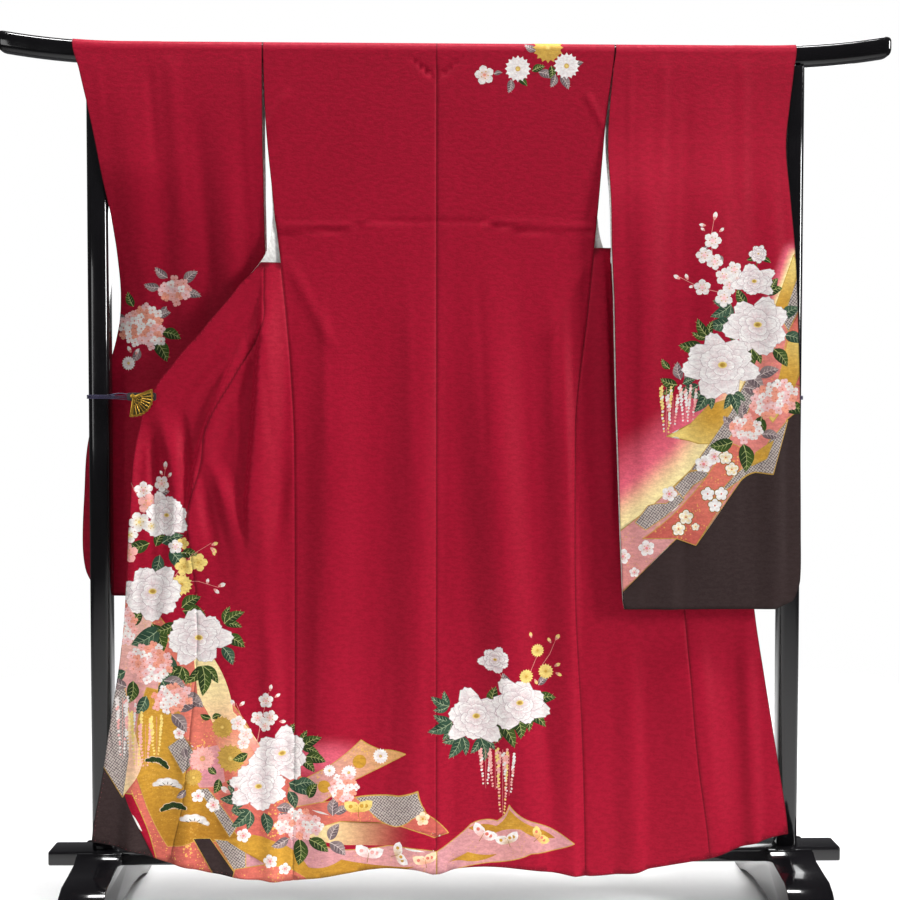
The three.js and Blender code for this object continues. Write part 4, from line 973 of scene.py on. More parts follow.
def painted_silk(nodes, shader):
    cut = nodes.add("ShaderNodeUVMap", uv_map="cut")
    paint = nodes.add("ShaderNodeAttribute", None, attribute_name="paint")
    pattern = nodes.add("ShaderNodeAttribute", "Color", attribute_name="pattern")
    amount = nodes.add("ShaderNodeSeparateColor", None, {"Color": pattern})
    weave = placed_group(nodes, CREPE, Place=cut, Amount=1.0)
    dots = placed_group(nodes, KANOKO, Place=cut)
    flecks = nodes.math("MULTIPLY", dots["Flecks"], amount.outputs["Green"])
    colour = nodes.blend(
        nodes.math("MULTIPLY", dots["Dots"], amount.outputs["Red"]), paint.outputs["Color"],
        rgb(206, 196, 186))
    colour = nodes.blend(flecks, colour, rgb(232, 190, 96))
    # The crepe's flecks are partly its own tone and partly painted sheen and shade: a lit copy and a shaded
    # copy of the colour, mixed by the weave.
    sheen_shaded = nodes.blend(1.0, colour, (0.86, 0.82, 0.84), "MULTIPLY")
    lit = nodes.blend(1.0, colour, (1.12, 1.12, 1.12), "MULTIPLY")
    colour = nodes.blend(weave["Fleck"], sheen_shaded, lit)
    # Painted shade along the panel's edges, at its seams and hem: the pattern's third channel, set at the
    # edge, darkens the colour to 0.42 of itself there.
    sewn = nodes.spread(amount.outputs["Blue"], 0, 1, 1.0, 0.42)
    shade = nodes.add("ShaderNodeCombineColor", inputs={"Red": sewn, "Green": sewn, "Blue": sewn})
    colour = nodes.blend(1.0, colour, shade, "MULTIPLY")
    gilt = nodes.math("MAXIMUM", paint.outputs["Alpha"], nodes.math("MULTIPLY", flecks, 0.6))
    rough = nodes.spread(weave["Fleck"], 0, 1, 0.66, 0.52)
    nodes.put_all(shader, {
        "Base Color": colour, "Metallic": gilt,
        "Roughness": nodes.math("SUBTRACT", rough, nodes.math("MULTIPLY", gilt, 0.25)),
        "Normal": nodes.bump(weave["Height"], 0.5, 0.0006), "Specular IOR Level": 0.10,
        "Sheen Weight": 0.02, "Sheen Roughness": 0.35, "Sheen Tint": (1.0, 0.35, 0.45, 1.0)})


def lining_silk(nodes, shader):
    cut = nodes.add("ShaderNodeUVMap", uv_map="cut")
    weave = placed_group(nodes, CREPE, Place=cut, Amount=1.0)
    nodes.put_all(shader, {
        "Base Color": nodes.blend(weave["Figure"], LINING_SHADE, LINING),
        "Roughness": nodes.spread(weave["Fleck"], 0, 1, 0.62, 0.5),
        "Normal": nodes.bump(weave["Height"], 0.25, 0.0003), "Sheen Weight": 0.2})


def black_lacquer(nodes, shader):
    place, wear = worn_place(nodes)
    ripple = nodes.noise(nodes.stretched(place, (9, 9, 3)), 1.0, 2)
    nodes.put_all(shader, {
        "Base Color": nodes.blend(wear, rgb(9, 8, 10), rgb(16, 15, 17)), "Specular IOR Level": 0.3,
        "Roughness": nodes.spread(wear, 0, 1, 0.09, 0.17), "Normal": nodes.bump(ripple, 0.04, 0.002),
        "Coat Weight": 0.35, "Coat Roughness": 0.04})


def satin_black(nodes, shader):
    _, wear = worn_place(nodes)
    nodes.put_all(shader, {
        "Base Color": nodes.blend(wear, rgb(24, 23, 27), rgb(44, 42, 46)),
        "Roughness": nodes.spread(wear, 0, 1, 0.32, 0.5)})


def gilt_metal(nodes, shader):
    place, wear = worn_place(nodes)
    nodes.put_all(shader, {
        "Base Color": nodes.blend(wear, rgb(214, 170, 74), rgb(150, 112, 40)), "Metallic": 1.0,
        "Roughness": nodes.spread(wear, 0, 1, 0.22, 0.42),
        "Normal": nodes.bump(nodes.noise(place, 900.0, 2), 0.2, 0.0002)})


# Painted shade: a dark olive gold, coloured as gilt looks in the shade of the fan's hollows.
def gilt_in_shade(nodes, shader):
    cloud = nodes.noise(nodes.add("ShaderNodeTexCoord", "Object"), 300.0, 3)
    nodes.put_all(shader, {
        "Base Color": nodes.blend(cloud, rgb(46, 44, 22), rgb(92, 82, 34)), "Metallic": 0.5,
        "Roughness": nodes.spread(cloud, 0.3, 0.7, 0.4, 0.6)})


def twisted_silk(nodes, shader):
    place = nodes.add("ShaderNodeTexCoord", "Object")
    fibre = nodes.noise(nodes.stretched(place, (500, 1500, 1500)), 1.0, 3)
    nodes.put_all(shader, {
        "Base Color": nodes.blend(fibre, rgb(22, 18, 48), rgb(62, 52, 104)), "Sheen Weight": 0.3,
        "Roughness": nodes.spread(fibre, 0.3, 0.7, 0.45, 0.65)})


def sewing_thread(nodes, shader):
    fibre = nodes.noise(nodes.add("ShaderNodeTexCoord", "Object"), 1600.0, 2)
    nodes.put_all(shader, {
        "Base Color": nodes.blend(fibre, rgb(150, 20, 44), rgb(196, 60, 84)),
        "Roughness": nodes.spread(fibre, 0.3, 0.7, 0.4, 0.6)})


SILK = material("painted silk crepe", painted_silk)
LINING_SILK = material("white silk lining", lining_silk)
LACQUER = material("black lacquer", black_lacquer)
SATIN_BLACK = material("satin black clip", satin_black)
GILT = material("gilt metal", gilt_metal)
SHADED_GILT = material("gilt in painted shade", gilt_in_shade)
CORD_SILK = material("twisted cord silk", twisted_silk)
THREAD = material("sewing thread", sewing_thread)


# ---- ribbons, fields and sprays ------------------------------------------------------------------
LEAF_TONES = {
    "green": (GREEN, GREEN_LIT, VEIN), "teal": (TEAL, TEAL_LIT, rgb(150, 166, 132)),
    "ash": (ASH, ASH_LIT, rgb(200, 186, 180))}
GOLD_LINE = 1.6


def side_points(corners):
    """The sides of a closed figure. A corner is x, z and how far its side bows, as a share of its length."""
    sides = []
    for here, onward in zip(corners, corners[1:] + corners[:1]):
        bow = here[2] if len(here) > 2 else 0
        sides.append(bent(here[:2], onward[:2], bow, 8 if bow else 2))
    return sides


def field(design, corners, colour, outer=None, centre=None, reach=None, line=GOLD, **pattern):
    """A flat figure of cloth or colour, with a thin gold line round it."""
    sides = side_points(corners)
    outline = np.concatenate([side[:-1] for side in sides])
    design.shape(outline, colour, outer, centre, reach, **pattern)
    if line is not None:
        for side in sides:
            design.shape(stroke(side, np.full(len(side), GOLD_LINE)), line, gilt=0.45)


def dotted(design, corners):
    """A figure of dotted grey."""
    field(design, corners, GREY_DOT, dots=1.0)


def leaves(design, *rows):
    """Each row: x, z, angle, length, tone. A lobed leaf is a peony's, with three lobes."""
    for x, z, angle, length, tone in rows:
        dark, light, vein = LEAF_TONES[tone.removeprefix("lobed ")]
        if tone.startswith("lobed "):
            peony_leaf(design, (x, z), angle, length, dark, light, vein)
        else:
            leaf(design, (x, z), angle, length, length * 0.56, dark, light, vein)


def blossoms(design, *rows, **style):
    for x, z, size, angle in rows:
        blossom(design, (x, z), size, angle, **style)


def cherry(design, *rows):
    blossoms(design, *rows, colour=SNOW, heart=rgb(226, 130, 132))


def plum(design, x, z, size, gold=LEMON):
    """A plum blossom as a gold-edged round flower with a pale heart."""
    for k in range(5):
        turn = turned([[size * 0.56, 0]], 90 + 72 * k, (x, z))[0]
        design.shape(disc(turn, size * 0.50, 9), GOLD_DEEP, gilt=0.3)
    for k in range(5):
        turn = turned([[size * 0.54, 0]], 90 + 72 * k, (x, z))[0]
        design.shape(disc(turn, size * 0.40, 9), gold, SNOW)
    design.shape(disc((x, z), size * 0.30, 8), SNOW, gold)
    design.shape(disc((x, z), size * 0.13, 6), rgb(196, 90, 60))


# ---- the left front and the hem ------------------------------------------------------------------
def paint_hem_ribbons(design):
    """Bundled ribbons fan out along the hem, over a dark ground at the left."""
    field(
        design, [(-700, 300), (-634, 296), (-600, 218), (-545, 96), (-540, 40), (-700, 40)], BROWN, line=None)
    field(
        design, [(-640, 640), (-560, 600), (-470, 480, 0.06), (-352, 316, 0.05), (-235, 226), (-203, 190),
                 (-300, 150), (-300, 40), (-540, 40), (-546, 98, -0.03), (-592, 240), (-614, 240),
                 (-650, 430)], CORAL, CORAL_DEEP, (-480, 420), 460, flecks=0.9)
    field(
        design, [(-632, 560), (-560, 590), (-540, 470), (-560, 330, -0.05), (-600, 330), (-640, 470)], MAUVE,
        MAUVE_PALE, flecks=0.4)
    field(  # the ochre ribbon with pines
        design, [(-566, 440, 0.05), (-500, 410, -0.04), (-512, 300), (-458, 240), (-384, 146, 0.04),
                 (-470, 152, 0.06), (-528, 138, 0.03), (-566, 214), (-588, 286, 0.05)], OCHRE, OCHRE_DEEP,
        (-540, 330), 240, flecks=0.25)
    field(design, [(-480, 153), (-448, 153), (-372, 50), (-424, 50)], BROWN)
    dotted(design, [(-528, 326), (-498, 348), (-470, 306), (-498, 276)])
    dotted(design, [(-470, 246), (-452, 248), (-396, 176), (-410, 156)])
    dotted(
        design, [(-440, 151, -0.02), (-384, 150), (-358, 132), (-318, 112), (-338, 84, 0.08), (-396, 84)])
    field(
        design, [(-486, 300, 0.1), (-430, 330), (-418, 262, 0.1), (-468, 250)], rgb(212, 138, 150), MAUVE,
        line=None)
    dotted(  # kanoko down the outer edge
        design, [(-680, 520), (-640, 500), (-612, 452, 0.04), (-600, 380, -0.04), (-602, 330),
                 (-578, 296, 0.05), (-596, 256), (-612, 232), (-680, 340)])
    field(
        design, [(-604, 400, 0.03), (-574, 296, 0.06), (-596, 254), (-611, 234), (-600, 310)],
        rgb(236, 190, 160), CREAM, line=None)
    field(  # the cream ribbon that crosses to the middle
        design, [(-478, 500), (-440, 492, 0.06), (-404, 394, 0.04), (-346, 312, 0.03), (-372, 272),
                 (-430, 330, -0.06), (-470, 420)], CREAM, ROSE, (-450, 470), 260, line=CREAM)
    field(
        design, [(-446, 352), (-404, 372), (-352, 300), (-396, 262)], rgb(240, 176, 140), CORAL, line=None,
        flecks=0.5)


def paint_hem_spikes(design):
    """The ribbons end in two spikes. A mauve band and a low hill follow along the hem."""
    field(  # cream running out to crimson, under the spikes
        design, [(-290, 214), (-200, 192, 0.02), (-95, 176), (-20, 160), (-20, 122), (-100, 136, 0.02),
                 (-200, 140), (-290, 160)], CREAM, CRIMSON, (-292, 180), 232, line=None)
    field(  # the upper spike
        design, [(-300, 246), (-231, 286, -0.03), (-163, 337, -0.05), (-124, 318, 0.05), (-78, 312, 0.02),
                 (-184, 258), (-236, 222), (-300, 200)], MAUVE, rgb(212, 160, 104), (-250, 240), 170,
        flecks=0.8)
    field(  # the lower spike
        design, [(-300, 206), (-240, 222), (-174, 229, 0.02), (-92, 232, -0.03), (-55, 243, -0.06),
                 (-38, 198, 0.05), (3, 160), (-24, 153, -0.03), (-92, 176), (-203, 185), (-300, 160)], CORAL,
        CORAL_DEEP, (-170, 205), 170, flecks=0.5)
    dotted(
        design, [(-174, 228, 0.02), (-92, 231, -0.03), (-56, 241, -0.05), (-42, 206, 0.06), (-66, 190, 0.08),
                 (-96, 173, 0.1), (-140, 194)])
    field(  # the mauve band along the hem, and its hill across the middle
        design, [(-380, 128), (-290, 152, 0.05), (-214, 132, -0.05), (-110, 136, 0.03), (-20, 126), (-20, 30),
                 (-380, 30)], MAUVE, MAUVE_DEEP, (-120, 90), 230, flecks=0.25)
    field(
        design, [(-420, 152), (-366, 160, 0.10), (-262, 96, -0.08), (-200, 112, -0.06), (-60, 100, 0.05),
                 (-200, 72), (-260, 64), (-330, 96)], OCHRE, OCHRE_DEEP, (-330, 110), 280, line=None,
        flecks=0.2)
    field(
        design, [(-400, 96), (-340, 104, 0.05), (-262, 72), (-240, 30), (-420, 30)], CORAL, CORAL_DEEP,
        flecks=0.7)
    field(
        design, [(-19, 126, -0.04), (46, 176, 0.10), (96, 182, -0.10), (118, 214, -0.08), (158, 184, 0.05),
                 (242, 140, 0.05), (160, 122, 0.06), (84, 102, -0.04), (-19, 76)], MAUVE, MAUVE_DEEP,
        (110, 120), 190, flecks=0.25)
    field(
        design, [(40, 168, 0.10), (94, 172, -0.10), (118, 206, -0.06), (158, 176, 0.05), (206, 150, 0.10),
                 (140, 168, -0.10), (80, 150)], OCHRE, OCHRE_DEEP, line=None, flecks=0.2)
    field(
        design, [(-12, 96, 0.10), (40, 104, -0.08), (96, 118, 0.06), (40, 122)], OCHRE, OCHRE_DEEP, line=None,
        flecks=0.2)


def paint_left_front(design):
    """Flowers climb the left front from the hem."""
    twig(design, [(-560, 770), (-586, 812), (-600, 852)])
    twig(design, [(-556, 770), (-536, 812), (-528, 852)])
    buds(
        design, (-600, 850, 104, 17), (-606, 832, 140, 12), (-529, 850, 82, 17), (-523, 836, 50, 12),
        (-534, 840, 120, 10))
    leaves(
        design, (-548, 800, 20, 30, "ash"), (-566, 772, 330, 26, "ash"), (-586, 722, 138, 38, "green"),
        (-560, 712, 190, 44, "green"), (-548, 706, 60, 34, "green"), (-536, 712, 20, 44, "teal"),
        (-520, 700, 300, 50, "teal"), (-500, 694, 350, 34, "green"), (-540, 690, 250, 44, "teal"),
        (-500, 590, 30, 42, "green"), (-498, 584, 350, 44, "green"), (-600, 700, 230, 34, "ash"))
    blossoms(design, (-570, 812, 17, 20), (-536, 824, 16, 55), heart=PINK)
    blossoms(design, (-562, 786, 20, 10), colour=PINK, heart=SALMON)
    peony(design, (-528, 764), 36, 70, squash=1.0)
    blossoms(design, (-578, 752, 20, 40), (-596, 728, 16, 0), (-556, 744, 14, 70), heart=LEMON)
    blossoms(design, (-600, 694, 20, 15), colour=PINK, heart=SALMON)
    twig(design, [(-512, 650), (-480, 690), (-444, 712)], 1.4)
    twig(design, [(-500, 640), (-468, 640), (-430, 628)], 1.4)
    blossoms(design, (-468, 676, 18, 0), (-494, 668, 18, 30), (-496, 712, 12, 70), colour=LEMON, heart=GOLD)
    buds(design, (-444, 708, 20, 14), (-446, 704, 320, 16), (-440, 700, 280, 12), colour=LEMON)
    blossoms(design, (-510, 706, 14, 20), heart=BLUSH)
    buds(design, (-432, 630, 20, 16), (-440, 626, 320, 14), (-452, 634, 80, 12))
    mum(design, (-500, 634), 21, LEMON, GOLD, OCHRE)
    leaves(
        design, (-600, 560, 120, 40, "ash"), (-590, 556, 60, 36, "green"), (-556, 560, 290, 60, "green"),
        (-540, 552, 210, 64, "teal"), (-520, 500, 250, 56, "teal"), (-420, 560, 30, 44, "lobed green"),
        (-418, 536, 330, 42, "green"), (-424, 516, 300, 40, "teal"), (-500, 478, 240, 46, "lobed green"),
        (-462, 480, 270, 58, "lobed green"), (-510, 560, 200, 40, "green"))
    peony(design, (-556, 620), 52, 15)
    peony(design, (-470, 532), 52, 200)
    leaves(
        design, (-606, 470, 200, 40, "teal"), (-592, 452, 260, 44, "green"), (-604, 440, 150, 36, "ash"),
        (-534, 452, 340, 44, "ash"), (-500, 424, 330, 46, "ash"), (-512, 396, 20, 50, "ash"),
        (-538, 452, 286, 66, "teal"), (-566, 424, 240, 40, "teal"))
    hydrangea(design, (-606, 556), 20, 34, 0, 8, 4)
    hydrangea(design, (-560, 486), 42, 36, -20, 9, 5)
    hydrangea(design, (-520, 418), 34, 26, 10, 8.5, 6)
    for x, z, length, tone, seed in (
            (-612, 420, 116, WHITE, 1), (-596, 414, 96, WHITE, 2), (-584, 392, 100, LEMON, 3),
            (-568, 370, 84, PINK, 4), (-548, 384, 80, LEMON, 5)):
        wisteria(design, (x, z), length, tone, PINK if tone is WHITE else tone, seed)


def paint_hem_flowers(design):
    pine(design, (-548, 292), 23, -22, GREEN, GREEN_LIT)
    pine(design, (-528, 250), 27, -4)
    pine(design, (-516, 206), 25, 6, GREEN, GREEN_LIT)
    pine(design, (-478, 182), 27, -12)
    cherry(
        design, (-470, 234, 13, 10), (-442, 216, 14, 40), (-384, 160, 14, 0), (-334, 110, 14, 30),
        (-308, 92, 12, 5), (-506, 352, 12, 20))
    leaves(
        design, (-446, 380, 160, 22, "green"), (-444, 380, 20, 20, "green"), (-436, 274, 130, 24, "green"),
        (-430, 266, 250, 30, "green"), (-416, 262, 340, 24, "green"), (-492, 306, 100, 22, "ash"),
        (-492, 246, 220, 24, "ash"), (-520, 388, 310, 44, "ash"))
    mum(design, (-462, 304), 25, PINK, CORAL, SALMON)
    mums(design, (-424, 364, 22), (-408, 306, 28), (-478, 270, 17), tones=(GOLD, GOLD_DEEP, LEMON), rings=4)
    twig(design, [(-360, 330), (-350, 380), (-336, 430)])
    twig(design, [(-396, 330), (-386, 380), (-398, 410)], 1.2)
    buds(
        design, (-334, 432, 80, 13), (-326, 420, 30, 12), (-318, 374, 350, 13), (-400, 404, 120, 15),
        (-392, 404, 40, 13))
    blossoms(
        design, (-342, 414, 15, 20), (-358, 380, 14, 60), (-334, 382, 15, 0), (-344, 366, 12, 35),
        (-394, 372, 15, 10), (-380, 350, 14, 50), (-384, 334, 12, 20))
    leaves(
        design, (-376, 314, 200, 30, "green"), (-362, 300, 220, 26, "green"),
        (-276, 322, 30, 46, "lobed green"), (-268, 306, 350, 40, "green"), (-300, 340, 70, 30, "green"),
        (-276, 300, 320, 34, "green"), (-384, 236, 190, 46, "lobed teal"), (-372, 206, 220, 46, "lobed teal"),
        (-346, 202, 280, 42, "teal"), (-322, 212, 340, 34, "ash"), (-318, 200, 300, 44, "ash"),
        (-300, 256, 330, 46, "teal"), (-288, 250, 10, 40, "teal"), (-300, 240, 290, 36, "teal"))
    peony(design, (-314, 312), 48, 40)
    peony(design, (-358, 250), 46, 120)
    bud(design, (-408, 240), 150, 22)
    bud(design, (-400, 244), 60, 20)
    mums(design, (-126, 306, 15), (-186, 276, 15), (-222, 282, 12))
    design.shape(disc((-166, 296), 13, 16), OCHRE, gilt=0.2)
    design.shape(disc((-232, 252), 12, 16), OCHRE, gilt=0.2)
    leaves(
        design, (-262, 228, 60, 34, "green"), (-216, 196, 80, 38, "ash"), (-212, 200, 20, 30, "ash"),
        (-262, 150, 330, 44, "green"), (-280, 150, 268, 52, "green"), (-222, 150, 60, 36, "ash"),
        (-222, 146, 318, 40, "ash"), (-300, 150, 200, 34, "ash"))
    hydrangea(design, (-280, 178), 42, 26, 0, 9, 11)
    hydrangea(design, (-196, 248), 24, 22, 0, 8, 12)
    for x, z, size, angle, colour, spot in (
            (-168, 200, 26, 90, LEMON, OCHRE), (-150, 112, 26, 80, SNOW, PINK),
            (-98, 118, 22, 20, SNOW, OCHRE), (-40, 104, 22, 100, rgb(246, 214, 176), CORAL),
            (66, 150, 24, 60, SNOW, CORAL), (118, 140, 22, 110, SNOW, OCHRE),
            (170, 150, 20, 40, LEMON, CORAL)):
        butterfly(design, (x, z), size, angle, colour, spot)
    blossoms(design, (-46, 190, 14, 20), colour=rgb(248, 214, 180), heart=OCHRE)


def paint_right_hem(design):
    """A spray stands over the hill on the right back."""
    twig(design, [(96, 356), (112, 440), (90, 486)], 1.4)
    twig(design, [(136, 420), (160, 470), (180, 516)], 1.4)
    twig(design, [(176, 470), (196, 500), (206, 526)], 1.2)
    leaves(
        design, (4, 400, 150, 40, "lobed teal"), (10, 370, 200, 50, "lobed teal"),
        (28, 344, 240, 50, "lobed teal"), (64, 340, 280, 46, "lobed teal"), (86, 400, 80, 40, "green"),
        (100, 372, 300, 56, "lobed green"), (150, 392, 320, 50, "lobed green"), (168, 410, 10, 40, "green"),
        (132, 384, 280, 44, "green"), (120, 440, 120, 30, "ash"), (174, 440, 40, 26, "ash"))
    peony(design, (54, 380), 50, 10)
    peony(design, (136, 408), 48, 80)
    peony(design, (90, 490), 25, 30, squash=0.8)
    mums(design, (150, 458, 14), (172, 506, 13), (188, 466, 15), tones=(LEMON, GOLD, OCHRE))
    buds(
        design, (206, 526, 60, 14), (198, 520, 120, 12), (160, 530, 100, 12), (204, 476, 30, 13),
        (206, 464, 340, 13), (166, 452, 300, 12), colour=LEMON)
    for x, z, length, tone, seed in (
            (74, 318, 74, WHITE, 21), (92, 312, 70, PINK, 22), (106, 320, 130, LEMON, 23),
            (118, 312, 80, WHITE, 24)):
        wisteria(design, (x, z), length, tone, PINK, seed)


def paint_shoulder(design):
    """Chrysanthemums on the right shoulder, over the fold."""
    leaves(
        design, (160, 1602, 20, 26, "green"), (172, 1600, 340, 30, "ash"), (196, 1612, 270, 26, "green"),
        (204, 1596, 250, 26, "ash"), (214, 1594, 300, 30, "ash"), (168, 1640, 150, 26, "ash"),
        (238, 1612, 20, 20, "ash"), (120, 1586, 260, 26, "ash"), (134, 1588, 320, 22, "green"),
        (88, 1596, 10, 16, "ash"))
    mum(design, (190, 1646), 29, GOLD, OCHRE, LEMON)
    mums(design, (133, 1606, 25), (225, 1612, 25), rings=3)
    blossoms(design, (70, 1594, 19, 30), heart=SALMON)


# ---- the sleeves ---------------------------------------------------------------------------------
def paint_left_sleeve(design):
    leaves(
        design, (-548, 1196, 170, 30, "ash"), (-532, 1214, 140, 30, "ash"), (-500, 1204, 40, 34, "ash"),
        (-498, 1184, 350, 30, "ash"), (-536, 1160, 230, 26, "ash"), (-618, 1140, 170, 26, "ash"),
        (-600, 1160, 110, 30, "green"), (-560, 1096, 300, 48, "green"), (-546, 1112, 340, 40, "green"),
        (-590, 1080, 240, 30, "ash"), (-552, 1140, 20, 26, "ash"))
    hydrangea(design, (-518, 1190), 30, 22, 5, 9, 31)
    hydrangea(design, (-586, 1126), 42, 30, 30, 9.5, 32)
    hydrangea(design, (-566, 1106), 24, 22, 0, 9, 33)
    mums(design, (-612, 1052, 14))
    bud(design, (-606, 1072), 120, 15)
    bud(design, (-598, 1068), 60, 14)


RIBBON_TOP = ((325, 736), (382, 782), (456, 850), (531, 960), (572, 1046), (604, 1132), (650, 1254))


def paint_sleeve_ribbons(design):
    field(  # the dark ground
        design, [(280, 596), (325, 618, 0.02), (429, 722), (467, 709), (551, 836), (579, 846), (612, 843),
                 (637, 945), (720, 1010), (720, 540), (280, 540)], BROWN, line=None)
    field(  # the ribbons' own cloth
        design, [(280, 704), *RIBBON_TOP, (720, 1300), (720, 1010), (637, 945), (612, 842), (580, 846, -0.08),
                 (551, 830), (467, 709), (430, 722), (325, 616), (280, 580)], MAUVE, rgb(216, 128, 118),
        (420, 740), 260, flecks=0.35)
    field(
        design, [(410, 914), (456, 938), (488, 972), (524, 984), (534, 960), (496, 900), (470, 900),
                 (452, 906)], OCHRE, LEMON, (500, 960), 100, flecks=0.2)
    field(
        design, [(604, 1132), (650, 1254), (664, 1230), (640, 1170), (612, 1080), (588, 1076)], OCHRE, LEMON,
        flecks=0.2)
    dotted(design, [(664, 1236), (680, 1180), (640, 1110), (628, 1130), (642, 1172)])
    field(
        design, [(680, 1190), (690, 1000), (652, 1010), (632, 1080), (642, 1116)], CORAL, CORAL_DEEP,
        flecks=0.6)
    field(
        design, [(700, 1120), (640, 980), (610, 940), (596, 960), (618, 1010), (638, 1090)], OCHRE, LEMON,
        flecks=0.2)
    dotted(
        design, [(456, 850), (531, 960), (560, 1020), (590, 1020), (560, 950), (520, 900), (476, 852)])
    dotted(
        design, [(352, 752), (376, 784, 0.05), (410, 788), (442, 812), (444, 794), (410, 764), (372, 738)])
    dotted(
        design, [(424, 818), (452, 846, 0.05), (482, 850), (492, 842), (462, 822), (442, 798)])
    field(  # coral, with plum blossoms
        design, [(366, 722, -0.03), (442, 786, -0.03), (498, 858), (536, 900, 0.03), (562, 886), (545, 835),
                 (467, 709), (430, 722)], CORAL, CORAL_DEEP, (500, 830), 160, flecks=0.7)
    dotted(
        design, [(500, 798), (540, 842, 0.05), (588, 870), (604, 906), (640, 945), (612, 843),
                 (580, 847, -0.08), (551, 832)])
    field(design, [(572, 858), (580, 884), (612, 906), (600, 872)], OCHRE, GOLD, flecks=0.3)
    cherry(
        design, (480, 862, 17, 10), (500, 876, 16, 40), (416, 806, 15, 0), (374, 704, 16, 30),
        (330, 688, 15, 5), (352, 658, 10, 20))
    for x, z, size in ((488, 806, 14), (514, 806, 14), (502, 784, 14)):
        plum(design, x, z, size, SNOW)
    for x, z, size in ((522, 874, 14), (534, 852, 14), (448, 762, 15), (434, 740, 14), (466, 744, 8)):
        plum(design, x, z, size)


def paint_sleeve_flowers(design):
    twig(design, [(524, 1190), (496, 1236), (492, 1284), (500, 1326)])
    twig(design, [(520, 1180), (476, 1190), (434, 1212)])
    twig(design, [(578, 1210), (582, 1256)], 2.0, GREEN_LIT)
    buds(
        design, (499, 1318, 76, 17), (484, 1308, 168, 13), (508, 1296, 40, 12), (482, 1298, 140, 10),
        (436, 1208, 150, 15), (450, 1206, 110, 13), (462, 1196, 200, 11), (514, 1204, 60, 10))
    leaves(
        design, (506, 1252, 300, 16, "ash"), (486, 1270, 220, 14, "ash"), (590, 1248, 330, 18, "green"),
        (576, 1250, 200, 16, "green"), (556, 1180, 250, 30, "green"), (596, 1180, 20, 34, "green"),
        (606, 1188, 60, 26, "green"), (530, 1160, 210, 46, "lobed teal"), (532, 1130, 190, 48, "teal"),
        (560, 1160, 120, 36, "green"), (626, 1136, 30, 40, "teal"), (632, 1104, 340, 40, "teal"),
        (610, 1078, 310, 44, "green"), (570, 1080, 260, 46, "lobed green"),
        (488, 1098, 120, 42, "lobed green"), (476, 1084, 180, 44, "green"), (536, 1090, 90, 32, "green"),
        (470, 1010, 200, 40, "teal"), (486, 1000, 240, 48, "lobed teal"), (530, 996, 290, 44, "lobed teal"),
        (556, 1006, 340, 40, "ash"), (584, 1026, 20, 40, "ash"), (560, 1030, 320, 44, "ash"))
    leaves(
        design, (430, 1010, 160, 34, "green"), (436, 1020, 100, 34, "ash"), (424, 1010, 220, 28, "green"),
        (446, 1016, 60, 30, "ash"), (440, 1012, 20, 26, "teal"), (416, 1040, 130, 24, "green"))
    blossoms(
        design, (496, 1280, 17, 0), (480, 1252, 16, 30), (499, 1240, 16, 60), (476, 1192, 16, 20),
        (516, 1212, 17, 10), (536, 1226, 16, 40), (528, 1196, 17, 0), (516, 1172, 18, 50),
        (544, 1206, 14, 15), heart=rgb(244, 190, 190))
    peony(design, (574, 1204), 34, 100, squash=0.72)
    peony(design, (583, 1256), 14, 20, squash=1.0)
    peony(design, (580, 1122), 54, 30)
    peony(design, (512, 1046), 60, 250)
    leaves(
        design, (606, 990, 60, 36, "ash"), (632, 968, 350, 44, "green"), (590, 952, 250, 46, "green"),
        (542, 930, 140, 34, "ash"), (590, 918, 350, 34, "ash"), (536, 904, 190, 46, "green"),
        (556, 900, 275, 54, "green"), (556, 948, 90, 30, "ash"))
    hydrangea(design, (614, 984), 44, 30, 20, 9.5, 41)
    hydrangea(design, (560, 928), 36, 22, -10, 9, 42)
    wisteria(design, (410, 1006), 92, LEMON, WHITE, 51)
    wisteria(design, (422, 990), 60, WHITE, PINK, 52)
    wisteria(design, (446, 1008), 70, WHITE, PINK, 53)
    wisteria(design, (456, 1000), 56, PINK, WHITE, 54)


def above_line(line, x, z):
    """How far each place lies above a line of points, or 0 where it lies below."""
    line = np.array(line, float)
    nearest, side = np.full(np.shape(x), 1e9), np.zeros(np.shape(x))
    for a, b in zip(line[:-1], line[1:]):
        run = b - a
        t = clamp(((x - a[0]) * run[0] + (z - a[1]) * run[1]) / (run @ run))
        off_x, off_z = x - a[0] - run[0] * t, z - a[1] - run[1] * t
        away = np.hypot(off_x, off_z)
        closer = away < nearest
        nearest = np.where(closer, away, nearest)
        side = np.where(closer, run[0] * off_z - run[1] * off_x, side)
    return np.where(side > 0, nearest, 0)


def sleeve_glow(x, z):
    """Cream along the ribbons' upper edge, through rose, to the crimson ground."""
    away = above_line(RIBBON_TOP, x, z)
    reach = mix(125, 24, smooth(860, 1180, z))
    rose = 0.95 * (1 - smooth(0.30, 1.25, away / reach))
    cream = 1 - smooth(0.05, 0.52, away / reach)
    return (ROSE, rose), (CREAM, cream)


def body_glow(x, z):
    """A little rose round the roots of the spikes."""
    root = np.hypot((x + 232) / 90, (z - 300) / 42)
    return ((ROSE, 0.75 * (1 - smooth(0.2, 1.2, root))),)


BODY_DESIGN, LEFT_SLEEVE_DESIGN, RIGHT_SLEEVE_DESIGN = Design(), Design(), Design()
for paint_part in (
        paint_hem_ribbons, paint_hem_spikes, paint_left_front, paint_hem_flowers, paint_right_hem,
        paint_shoulder):
    paint_part(BODY_DESIGN)
paint_left_sleeve(LEFT_SLEEVE_DESIGN)
paint_sleeve_ribbons(RIGHT_SLEEVE_DESIGN)
paint_sleeve_flowers(RIGHT_SLEEVE_DESIGN)


